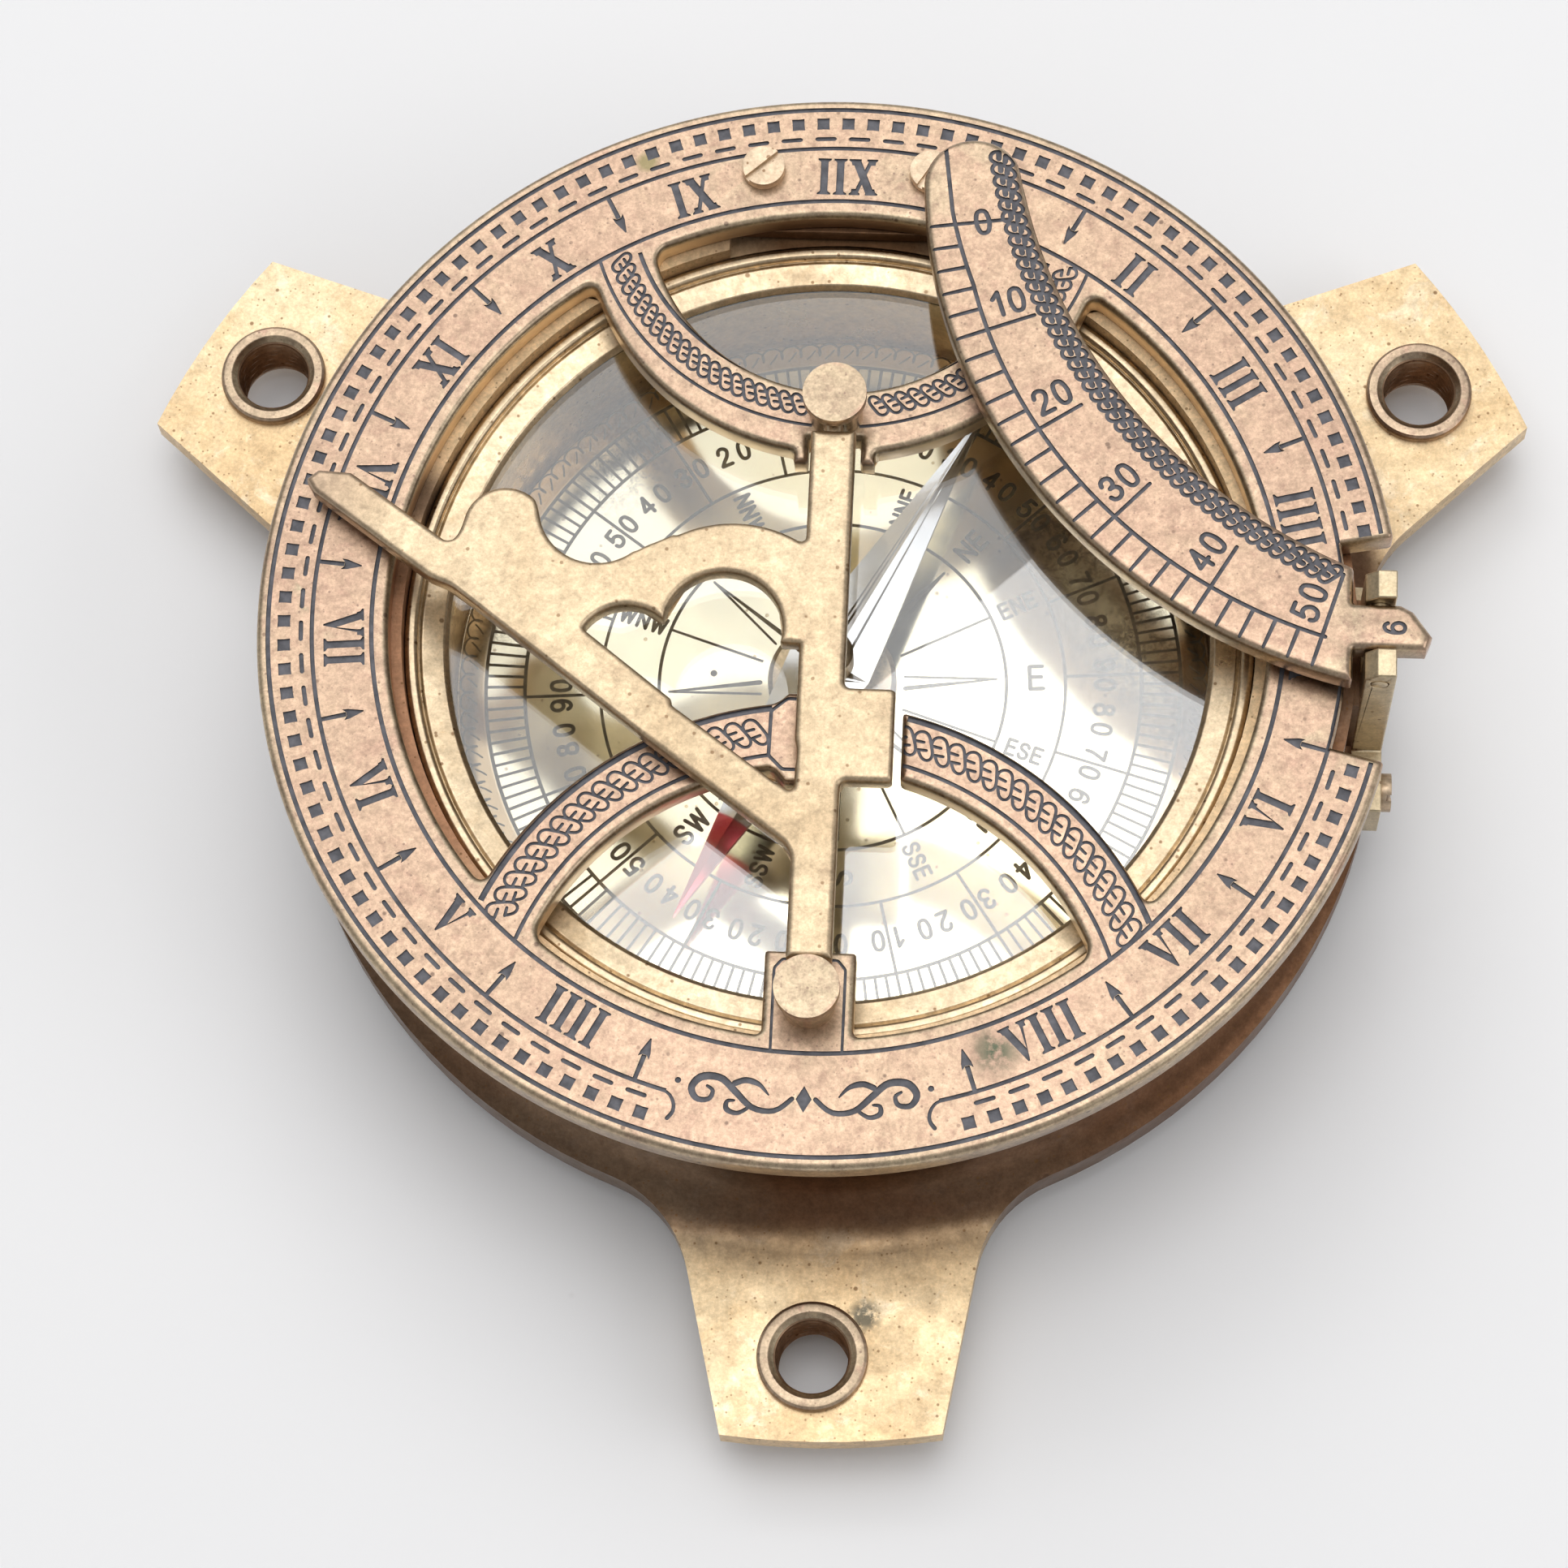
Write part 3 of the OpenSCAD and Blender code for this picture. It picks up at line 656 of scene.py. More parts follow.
BRONZE_PINK = (0.49, 0.39, 0.268)
BRONZE_TAN = (0.595, 0.49, 0.335)
BRONZE_GOLD = (0.71, 0.59, 0.385)
BRONZE_DARK = (0.25, 0.17, 0.13)
BRASS_PALE = (0.82, 0.655, 0.425)
BRASS_DEEP = (0.72, 0.52, 0.30)
BROWN = (0.17, 0.085, 0.035)
FILL = (0.078, 0.077, 0.088)
VERDIGRIS = (0.055, 0.085, 0.055)
# Inside the drum: a gold lighter than the casting's brass as painted light, a brown to the west, and
# painted shade at the hinge.
RECESS_LIT_GOLD = (0.94, 0.72, 0.46)
RECESS_BROWN = (0.52, 0.29, 0.17)
RECESS_PAINTED_SHADE = (0.22, 0.12, 0.06)

# Stains, dirt and the needle's coloured tip, by their places in millimetres
STAIN_GREY = (5.8, -63.3, 8.3)
STAIN_WALL = (-41.0, 12.5, 26.0)
STAIN_GREEN = (17.6, -43.0, 30.5)
STAIN_SPOT = (-19.9, 47.6, 30.5)
BROWN_TIP = (-50, 11, 33.1)
CARD_DIRT = (((24, 17, 10.3), 5.0), ((30, 5, 10.3), 4.5), ((-24, 24, 10.3), 4.5),
             ((35, -4, 10.3), 3.0), ((-35, 6, 10.3), 2.5))
NEEDLE_REST = math.radians(27.7)
NEEDLE_HALF = 30.3
RED_TIP = (-math.sin(NEEDLE_REST) * NEEDLE_HALF, -math.cos(NEEDLE_REST) * NEEDLE_HALF, 16.6)
RED_REACH = 11.5


def bronzed(name, stains=True, gold=0.35):
    """Brass browned to a pinkish tan, mottled and rubbed yellow in places."""
    m = Mat(name)
    wide = m.noise(46, 5, 0.6, distort=0.4)
    fine = m.noise(900, 6, 0.65)
    patch = m.noise(260, 8, 0.7, distort=0.5)
    base = m.mix(m.grey(wide, 0.42, 0.58), BRONZE_PINK, BRONZE_TAN)
    base = m.layers(base,
                    (m.noise(28, 4, 0.5, distort=0.8), 0.46, 0.62, 0, gold, BRONZE_GOLD),
                    (patch, 0.50, 0.62, 0, 0.55, BRONZE_PINK),
                    (patch, 0.36, 0.46, 0.45, 0, BRONZE_GOLD),
                    (m.noise(110, 8, 0.75, distort=0.6), 0.56, 0.68, 0, 0.6, BRONZE_DARK),
                    (fine, 0.52, 0.66, 0, 0.45, BRONZE_DARK),
                    (m.noise(2600, 4, 0.7), 0.34, 0.46, 0.35, 0, (0.78, 0.60, 0.42)),
                    (m.corners(), 0.50, 0.56, 0, 0.5, (0.60, 0.36, 0.27)))
    base = m.mottled(base, 0.24, 0.22)
    base = m.dotted(base, (2100, 0.20, 0.22, 0.6, BRONZE_DARK), (1100, 0.14, 0.22, 0.8, BRONZE_DARK),
                    (420, 0.10, 0.16, 0.8, (0.16, 0.11, 0.085)),
                    (700, 0.13, 0.20, 0.6, (0.2, 0.135, 0.10)))
    if stains:
        green = m.times(m.near(STAIN_GREEN, 1.7, 1.3), m.grey(m.noise(700, 4, 0.7), 0.38, 0.55))
        base = m.cover(base, m.near(STAIN_GREEN, 2.4, 1.6), 0.6, BRONZE_DARK)
        base = m.cover(base, green, 0.9, VERDIGRIS)
        base = m.cover(base, m.near(STAIN_SPOT, 1.0, 0.35), 0.75, (0.22, 0.20, 0.09))
        # Painted light and shade: the lower inner edge of the dial plate takes the drum's recess
        # colours.
        low = m.grey(m.height(), 29.5 * MM, 29.9 * MM, 0.9, 0)
        base = m.cover(base, low, m.grey(m.reach(), 42.6 * MM, 43.0 * MM, 1, 0), m.recess())
    m.set(Base_Color=base, Metallic=1.0,
          Roughness=m.mix(m.grey(wide, 0.35, 0.7), (0.30,) * 3, (0.44,) * 3))
    n = m.bump(fine, 0.30, 0.05)
    m.bump(m.noise(1600, 3, 0.6, stretch=(1, 0.02, 1, 0.7)), 0.12, 0.03, n)
    return m.mat


def cast_brass(name):
    """The base: yellow brass with brown specks; rust and painted shade in the cove and under the
    plate; golden in the drum, lightened as painted light.
    """
    m = Mat(name)
    wide = m.noise(34, 5, 0.55, distort=0.5)
    fine = m.noise(1100, 6, 0.65)
    patch = m.noise(190, 8, 0.72, distort=0.5)
    reach = m.reach()
    inside_wall = m.grey(reach, 47 * MM, 48.5 * MM, 1, 0)
    base = m.mix(m.grey(wide, 0.38, 0.64), BRASS_PALE, BRASS_DEEP)
    base = m.layers(base, (fine, 0.54, 0.78, 0, 0.45, (0.46, 0.29, 0.13)),
                    (patch, 0.54, 0.66, 0, 0.35, (0.58, 0.39, 0.19)),
                    (patch, 0.36, 0.46, 0.5, 0, (0.92, 0.80, 0.60)))
    radius = m.math("ADD", reach, m.grey(wide, 0.3, 0.7, -1.2 * MM, 1.2 * MM))
    # Painted shade with real tarnish: under the plate's edge, up the drum's side and fading across
    # the cove's foot, the base darkens to rust and tan.
    under = m.grey(radius, 55.6 * MM, 59.4 * MM, 1, 0)
    shade_fade = m.grey(radius, 56.5 * MM, 62.5 * MM, 0.75, 0)
    high = m.grey(m.height(), 9.6 * MM, 12 * MM, 0, 1)
    darkened = m.times(m.math("MAXIMUM", m.math("MAXIMUM", under, high), shade_fade),
                  m.grey(wide, 0.30, 0.60, 0.9, 1))
    rust_and_shade = m.mix(m.grey(wide, 0.40, 0.62), (0.10, 0.045, 0.026), (0.145, 0.062, 0.032))
    shade = m.mix(m.grey(radius, 54.8 * MM, 59.2 * MM), rust_and_shade, (0.42, 0.27, 0.145))
    base = m.cover(base, darkened, 0.94, shade)
    # Painted light and shade inside the drum: the recess colours, a gold lightened as painted light
    # and painted shade at the hinge.
    base = m.cover(base, inside_wall, 0.94, m.recess())
    mark = m.times(m.near(STAIN_WALL, 3.2, 1.2), m.grey(wide, 0.3, 0.5, 0.7, 1))
    base = m.cover(base, mark, 0.9, (0.07, 0.035, 0.025))
    base = m.mottled(base, 0.22, 0.16)
    base = m.dotted(base, (1000, 0.15, 0.26, 0.7, BROWN), (2100, 0.22, 0.22, 0.6, BROWN),
                    (420, 0.09, 0.22, 0.8, BROWN))
    stain = m.times(m.near(STAIN_GREY, 1.35, 0.5), m.grey(fine, 0.40, 0.50))
    base = m.cover(base, stain, 0.85, (0.10, 0.10, 0.08))
    rough = m.grey(m.noise(210, 4, 0.6), 0.35, 0.7, 0.33, 0.5)
    m.set(Base_Color=base, Metallic=1.0,
          Roughness=m.math("MAXIMUM", rough, m.times(inside_wall, 0.62)))
    n = m.bump(fine, 0.28, 0.05)
    m.bump(m.noise(1300, 3, 0.6, stretch=(1, 0.03, 1, 0.2)), 0.14, 0.03, n)
    return m.mat


def plain_brass(name, colour, dark, rough=(0.24, 0.42), speck=0.14):
    """Turned or cast brass with light tarnish."""
    m = Mat(name)
    fine = m.noise(1400, 6, 0.65)
    base = m.layers(colour, (m.noise(60, 5, 0.6, distort=0.4), 0.52, 0.74, 0, 0.55, dark),
                    (fine, 0.54, 0.78, 0, 0.5, dark))
    base = m.mottled(base, 0.24, 0.16)
    base = m.dotted(base, (1200, 0.2, speck, 0.75, BROWN), (500, 0.12, speck, 0.75, BROWN))
    m.set(Base_Color=base, Metallic=1.0,
          Roughness=m.grey(m.noise(180, 4, 0.6), 0.3, 0.7, *rough))
    m.bump(fine, 0.2, 0.04)
    return m.mat


def satin_brass(name):
    """The gnomon: pale satin casting, browner in the hollows and at the tip."""
    m = Mat(name)
    wide = m.noise(55, 5, 0.6, distort=0.6)
    base = m.mix(m.grey(wide, 0.36, 0.66), (0.76, 0.60, 0.40), (0.66, 0.50, 0.32))
    base = m.layers(base, (m.noise(150, 6, 0.7), 0.56, 0.74, 0, 0.5, (0.36, 0.24, 0.165)),
                    (m.noise(2400, 4, 0.7), 0.55, 0.8, 0, 0.4, (0.36, 0.24, 0.15)))
    base = m.cover(base, m.near(BROWN_TIP, 6.0, 5.0), 0.8, (0.42, 0.30, 0.215))
    base = m.layers(base, (m.corners(), 0.44, 0.49, 0.5, 0, (0.34, 0.20, 0.10)))
    base = m.mottled(base, 0.26, 0.18)
    base = m.dotted(base, (1100, 0.2, 0.12, 0.65, BROWN))
    m.set(Base_Color=base, Metallic=1.0, Roughness=m.grey(wide, 0.3, 0.7, 0.33, 0.46))
    n = m.bump(m.noise(700, 6, 0.65), 0.3, 0.06)
    m.bump(m.noise(1000, 3, 0.6, stretch=(1, 0.04, 1, 0.95)), 0.12, 0.03, n)
    return m.mat


def polished(name):
    """The compass card: mirror-bright yellow brass, dirty in places and darker at the rim."""
    m = Mat(name)
    base = m.layers((0.97, 0.92, 0.73), (m.noise(40, 4, 0.5), 0.4, 0.7, 0, 0.5, (0.91, 0.79, 0.52)))
    base = m.cover(base, m.grey(m.reach(), 34.5 * MM, 35.0 * MM), 0.8, (0.42, 0.25, 0.09))
    base = m.dotted(base, (1000, 0.2, 0.10, 0.6, (0.40, 0.26, 0.12)))
    for spot, size in CARD_DIRT:
        dirt = m.times(m.near(spot, size, size * 0.7),
                       m.grey(m.noise(620, 8, 0.8, distort=0.4), 0.46, 0.60))
        base = m.cover(base, dirt, 0.8, (0.09, 0.055, 0.03))
    m.set(Base_Color=base, Metallic=1.0,
          Roughness=m.grey(m.noise(160, 4, 0.6), 0.3, 0.7, 0.08, 0.16))
    m.bump(m.noise(60, 3, 0.5), 0.06, 0.2)
    return m.mat


def filled(name, colour=FILL, rough=(0.38, 0.6)):
    """Dark filling in the engraved lines."""
    m = Mat(name)
    base = m.mix(m.grey(m.noise(900, 4, 0.6), 0.35, 0.7), colour,
                 tuple(c * 1.7 + 0.02 for c in colour))
    m.set(Base_Color=base, Metallic=0.25, Roughness=m.grey(m.noise(500, 3), 0.3, 0.7, *rough))
    m.bump(m.noise(1200, 3), 0.3, 0.04)
    return m.mat


def steel(name, red_tip=False):
    """Bright steel, brushed along the needle; the needle's south tip is red."""
    m = Mat(name)
    base = m.mix(m.grey(m.noise(90, 4), 0.4, 0.7), (0.80, 0.81, 0.83), (0.62, 0.63, 0.65))
    metallic, span = 1.0, (0.10, 0.2)
    if red_tip:
        red = m.near(RED_TIP, RED_REACH, 0.15)
        base = m.mix(red, base, (0.95, 0.10, 0.14))
        metallic, span = m.grey(red, 0.0, 1.0, 1.0, 0.45), (0.12, 0.24)
    m.set(Base_Color=base, Metallic=metallic, Roughness=m.grey(m.noise(300, 4), 0.3, 0.7, *span))
    m.bump(m.noise(700, 3, 0.5, stretch=(0.05, 1, 1, -0.48)), 0.08, 0.03)
    return m.mat


def glass_material(name):
    """Clear glass; its index is above the real one, to match the photo's reflections."""
    m = Mat(name)
    m.set(Base_Color=(0.985, 0.99, 0.985), Transmission_Weight=1.0, IOR=1.97,
          Roughness=m.grey(m.noise(120, 4), 0.55, 0.8, 0.0, 0.03))
    return m.mat


def rubber(name):
    m = Mat(name)
    m.set(Base_Color=m.mix(m.noise(300, 3), (0.02, 0.018, 0.016), (0.04, 0.036, 0.03)),
          Roughness=m.grey(m.noise(500, 3), 0.3, 0.7, 0.6, 0.85))
    return m.mat


def table_top(name):
    """Pale studio paper with faint marks."""
    m = Mat(name)
    base = m.mix(m.grey(m.noise(6, 4), 0.4, 0.7), (0.955, 0.955, 0.965), (0.93, 0.93, 0.942))
    base = m.dotted(base, (40, 0.03, 0.12, 0.35, (0.35, 0.33, 0.31)))
    m.set(Base_Color=base, Roughness=0.42)
    m.bump(m.noise(260, 3), 0.04, 0.2)
    return m.mat


# ---- the dial plate

DIAL_R = 54.985
RING_IN = 42.3
NOTCH_R = 49.9
NOTCH = (79.8, 103.8)
HOUR_STEP = 18.98
HOUR_LINE_R = 49.6          # the line outside the hours, and where the arrows start
ORNAMENT_R = 48.3
CORNER = 1.3                # rounding of the openings' corners
DIAL_EDGE = 0.62            # widths of the rounded edges
ARC_EDGE = 0.75
GROOVE = 0.22               # depth of the engraving


def dial_field(p):
    rad = np.hypot(p[:, 0], p[:, 1])
    ring = np.maximum(rad - DIAL_R, RING_IN - rad)
    north = np.hypot(p[:, 0], p[:, 1] - 42.6)
    north = np.maximum(north - 25.7, 19.2 - north)
    south = np.hypot(p[:, 0], p[:, 1] + 43.8)
    south = np.maximum(south - 35, 28.4 - south)
    disc = rad - RING_IN - 1
    d = join(ring, np.maximum(north, disc), CORNER)
    d = join(d, np.maximum(south, disc), CORNER)
    d = join(d, sd_box(p, (-3.9, 15.9), (3.9, 19.9)), 0.5)
    pad = sd_poly(p, [(-5.1, -15.2), (-3.3, -17.2), (3.3, -17.2), (5.1, -15.2),
                      (5.1, -9.8), (3.3, -8), (-3.3, -8), (-5.1, -9.8)])
    d = join(d, pad, 0.4)
    tongue = sd_box(p, (-4.3, -RING_IN - 1), (4.3, -33.7))
    tongue = meet(tongue, p[:, 1] + 33.7, 0.5)
    d = join(d, tongue, 0.7)
    d = cut(d, sd_box(p, (-2.55, 10), (2.55, 18.5)), 0.3)
    d = cut(d, sd_box(p, (-1.55, -20), (7.7, -7)), 0.3)
    edges = [np.array([math.cos(math.radians(a)), -math.sin(math.radians(a))]) for a in NOTCH]
    wedge = np.maximum(-(p @ edges[0]), p @ edges[1])
    wedge = np.where(p[:, 0] > 0, wedge, 50.0)
    notch = np.maximum(wedge, NOTCH_R - rad)
    d = cut(d, notch, 0.35)
    for x in (-8.3, 8.3):
        d = np.maximum(d, 1.5 - np.hypot(p[:, 0] - x, p[:, 1] - 47))
    for y in (21, -38.9):
        d = np.maximum(d, 1.3 - np.hypot(p[:, 0], p[:, 1] - y))
    return d


LINK_BODY = [(-0.95, 0.22), (-1.02, 0.62), (-0.86, 1.0), (-0.5, 1.21), (-0.1, 1.16),
             (0.22, 0.86), (0.5, 0.38), (0.8, -0.14), (0.98, -0.58), (0.94, -0.98),
             (0.66, -1.2), (0.28, -1.16), (-0.02, -0.94), (-0.3, -0.6)]
LINK_PRONGS = [[(-0.92, 0.22), (-0.12, 0.3)], [(-0.4, -0.5), (0.34, -0.34)]]


def smooth_line(points, n):
    """Points on a rounded line through the given ones."""
    p = np.asarray(points, float)
    t = np.linspace(0, len(p) - 1, n)
    i = np.clip(t.astype(int), 0, len(p) - 2)
    f = (t - i)[:, None]
    a, b = p[np.maximum(i - 1, 0)], p[i]
    c, d = p[i + 1], p[np.minimum(i + 2, len(p) - 1)]
    return 0.5 * (2 * b + (c - a) * f + (2 * a - 5 * b + 4 * c - d) * f ** 2
                  + (3 * b - a - 3 * c + d) * f ** 3)


def chain(c, r, a0, a1, pitch, size, width, clockwise=True, prong=1.0):
    """Interlocked links along a circle."""
    count = max(1, int(abs(math.radians(a1 - a0)) * r / pitch))
    out = []
    body = smooth_line(LINK_BODY, 26) * size
    for k in range(count):
        a = a0 + (a1 - a0) * (k + 0.5) / count
        out.append(stroke(wrapped(body, c, r, a, clockwise), width, 3))
        for line in LINK_PRONGS:
            q = np.asarray(line) * size
            out.append(stroke(wrapped(q, c, r, a, clockwise), width * prong, 3))
    return out


def arrow(angle):
    """Half-hour arrow that points to the centre."""
    shaft = loop([(-0.22, 0), (0.22, 0), (0.24, -2.6), (-0.24, -2.6)])
    head = loop([(-0.56, -2.3), (-0.22, -2.62), (0.22, -2.62), (0.56, -2.3),
                 (0.5, -2.9), (0.06, -4.3), (-0.06, -4.3), (-0.5, -2.9)])
    return on_circle([shaft, head], HOUR_LINE_R, angle)


def hour_band():
    """Border lines, squares, dashes, numerals and half-hour arrows."""
    gap = 0.55
    out = [band(ORIGIN, 53.85, 0.45, NOTCH[1] + gap, 360 + NOTCH[0] - gap),
           band(ORIGIN, HOUR_LINE_R, 0.42, -165.0, NOTCH[0] + 2),
           band(ORIGIN, 49.55, 0.42, NOTCH[0] + 2, NOTCH[1] - 2),
           band(ORIGIN, HOUR_LINE_R, 0.42, NOTCH[1] - 2, 165.3), circle_line(43.85, 0.44)]
    square = loop([(-0.62, -0.62), (0, -0.58), (0.62, -0.62), (0.59, 0), (0.62, 0.64),
                   (0, 0.61), (-0.62, 0.64), (-0.59, 0)])
    dash = stroke([(-0.85, 0), (0, 0), (0.85, 0)], 0.44, 3)
    for k in range(-60, 61):
        a = k * 2.717 - 0.15
        if not NOTCH[0] - 0.9 < a < NOTCH[1] + 0.9:
            out += on_circle([square], 52.3, a)
    for k in range(-43, 44):
        a = k * HOUR_STEP / 5 - 2.6
        if abs(a) < 163.5 and not NOTCH[0] - 1 < a < NOTCH[1] + 1.6:
            out += on_circle([dash], 50.65, a)
    hours = "IIII V VI VII VIII IX X XI XII I II III IIII V VI VII VIII"
    for k, text in enumerate(hours.split(), -8):
        out += on_circle(roman(text), 46.5, k * HOUR_STEP, 180)
        if k:
            out += arrow((k + math.copysign(0.5, k)) * HOUR_STEP)
    for s, a in ((-1, -164.6), (1, 165.0)):
        hook = [(0, 0), (0.75, 0.25), (1.35, 0.95), (1.5, 1.75), (1.2, 2.5)]
        pts = wrapped([(s * x, y) for x, y in smooth_line(hook, 12)], ORIGIN, HOUR_LINE_R, a)
        out.append(stroke(pts, np.linspace(0.28, 0.42, 12)))
    return out


def ornament():
    """Plain symmetrical scrolls between the two ends of the hour band."""
    out = []
    scroll = [(1.1, 0.0), (2.6, 1.25), (4.6, 1.2), (6.4, -0.1), (8.0, -1.15), (9.8, -0.9),
              (10.5, 0.3), (9.8, 1.25), (8.7, 1.05), (8.5, 0.2), (9.1, -0.15)]
    leaf = [(3.3, -0.2), (4.3, -1.1), (5.6, -1.35), (6.6, -0.9)]
    curl = [(4.9, 1.15), (5.9, 1.9), (6.9, 1.7), (7.0, 0.95), (6.4, 0.75)]
    for s in (-1, 1):
        for pts, w0, w1 in ((scroll, 0.78, 0.3), (leaf, 0.26, 0.6), (curl, 0.55, 0.26)):
            p = smooth_line([(s * x, y) for x, y in pts], 40)
            w = np.interp(np.linspace(0, 1, 40), (0, 0.5, 1), (w0 * 0.6, max(w0, w1), w1))
            out.append(stroke(wrapped(p, ORIGIN, ORNAMENT_R, 180), w))
    gem = [(0, 1.3), (0.75, 0), (0, -1.3), (-0.75, 0)]
    dots = [arc_points((x, 0), 0.3, 0, 330, 30) for x in (-11.9, 11.9)]
    return out + [loop(wrapped(p, ORIGIN, ORNAMENT_R, 180)) for p in [gem] + dots]


def band_engraving():
    """Border lines and chains on the two bands, the pads and the tongue."""
    out = []
    c = (0, 45.0)
    for a0, a1 in ((109.3, 174.8), (185.2, 250.7)):
        out.append(band(c, 25.4, 0.34, a0, a1))
    for a0, a1 in ((110.0, 176.4), (183.6, 250.0)):
        out.append(band(c, 21.4, 0.44, a0, a1))
    out += chain(c, 23.4, 109.6, 171.6, 1.27, 0.86, 0.32)
    out += chain(c, 23.4, 187.4, 250.4, 1.27, 0.86, 0.32)
    c = (0.1, -43.8)
    for a0, a1 in ((-66.2, -8.1), (13.6, 66.4)):
        out.append(band(c, 34.4, 0.6, a0, a1))
    for a0, a1 in ((-70.0, -9.4), (14.4, 70.3)):
        out.append(band(c, 29.75, 0.4, a0, a1))
    out += chain(c, 32.2, -67.6, -9.8, 1.66, 1.1, 0.31)
    out += chain(c, 32.25, 13.0, 68.2, 1.66, 1.1, 0.31)
    pad = [(-2.0, -8.7), (-3.35, -8.7), (-4.85, -10.0), (-4.9, -14.5), (-3.55, -15.85),
           (-2.0, -15.85)]
    out.append(stroke(smooth_corners(pad), 0.36))
    tongue = [(-3.35, -43.7), (-3.35, -35.6), (-2.6, -34.7), (2.6, -34.7), (3.35, -35.6),
              (3.35, -43.7)]
    out.append(stroke(smooth_corners(tongue), 0.28))
    return out


def smooth_corners(points, step=0.22):
    """Extra points beside each corner, so that a stroke keeps its width there."""
    p = np.asarray(points, float)
    out = [p[0]]
    for a, b, c in zip(p, p[1:], p[2:]):
        u = (a - b) / np.linalg.norm(a - b)
        v = (c - b) / np.linalg.norm(c - b)
        out += [b + u * step, b + (u + v) * step * 0.22, b + v * step]
    out.append(p[-1])
    return np.array(out)


def make_dial(metal, fill):
    obj = engraved("engraved_dial", "dial_plate", dial_field, DIAL_EDGE,
                   hour_band() + ornament() + band_engraving(), GROOVE, [metal, fill], 0.22)
    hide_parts("dial_plate")
    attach(obj, "dial")


# ---- the latitude arc

OUT_C, OUT_R = (62.2, 46.5), 54.5
IN_C, IN_R = (71.7, 56.1), 55.5
ARC_END_Y = 44.2
SHOULDER_X = 50.1


def arc_field(p):
    outer = sd_circle(p, OUT_C, OUT_R)
    inner = sd_circle(p, IN_C, IN_R)
    end_out = OUT_C[0] - math.sqrt(OUT_R ** 2 - (OUT_C[1] - ARC_END_Y) ** 2)
    end_in = IN_C[0] - math.sqrt(IN_R ** 2 - (IN_C[1] - ARC_END_Y) ** 2)
    body = meet(outer, np.maximum(p[:, 0] - SHOULDER_X, p[:, 1] - ARC_END_Y), 0.35)
    cap = sd_circle(p, ((end_out + end_in) / 2, ARC_END_Y), (end_in - end_out) / 2)
    d = np.minimum(body, cap)
    tongue = sd_poly(p, [(SHOULDER_X - 3, -3.35), (57.0, -3.35), (57.6, -1.9), (55.8, 0.6),
                         (54.6, 1.25), (SHOULDER_X - 3, 1.25)])
    d = join(d, tongue, 0.25)
    return cut(d, inner, 0.3)


def arc_engraving():
    """Graduation strip, decade lines, figures and chain."""
    out = []

    def strip(phi):
        return 51.0 + 0.7 * max(0.0, (15.0 - phi) / 7.5)

    def at(phi, r):
        t = math.radians(phi)
        return (OUT_C[0] - r * math.cos(t), OUT_C[1] - r * math.sin(t))

    path = [(9.75, 47.9)] + [at(a, strip(a)) for a in np.arange(6.0, 73.3, 0.6)]
    out.append(stroke(path, 0.42))
    figures = {0: "0", 5: "10", 10: "20", 15: "30", 20: "40", 25: "50"}
    for k in range(26):
        phi = 7.6 + 2.61 * k
        out.append(stroke([at(phi, strip(phi)), at(phi, 52.8), at(phi, 54.05)], (0.42, 0.4, 0.34), 2))
        if k % 5:
            continue
        reach = 46.2 if k < 25 else 44.4
        out.append(stroke([at(phi, strip(phi)), at(phi, 48.5), at(phi, reach)], 0.4))
        off = 0 if k == 0 else 2.6
        place = at(phi - off, 49.0 if k == 0 else 48.2)
        turn = -(phi - off) if k else -12
        out += [moved(g, place, turn) for g in text_shapes(figures[k], 2.9, 0.47, 0.3)]
    out += [moved(g, (54.0, -1.2), -88) for g in text_shapes("6", 2.35, 0.4)]
    out += chain(IN_C, 57.2, 261.3, 204.0, 1.29, 0.88, 0.42, clockwise=False, prong=1.35)
    out.append(stroke([(50.7, 3.7), (50.0, 2.2)], (0.9, 0.5)))
    return out


def make_arc(metal, fill):
    obj = engraved("engraved_arc", "latitude_arc", arc_field, ARC_EDGE, arc_engraving(),
                   GROOVE, [metal, fill], 0.16, low_edge=0.35)
    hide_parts("latitude_arc")
    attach(obj, "arc")


# ---- the compass card

CARD_TURN = -4.2            # the card's north, clockwise from noon
WREATH_R = 36.3
DIGIT_R, DIGIT_H, DIGIT_LINE = 27.1, 2.3, 0.4


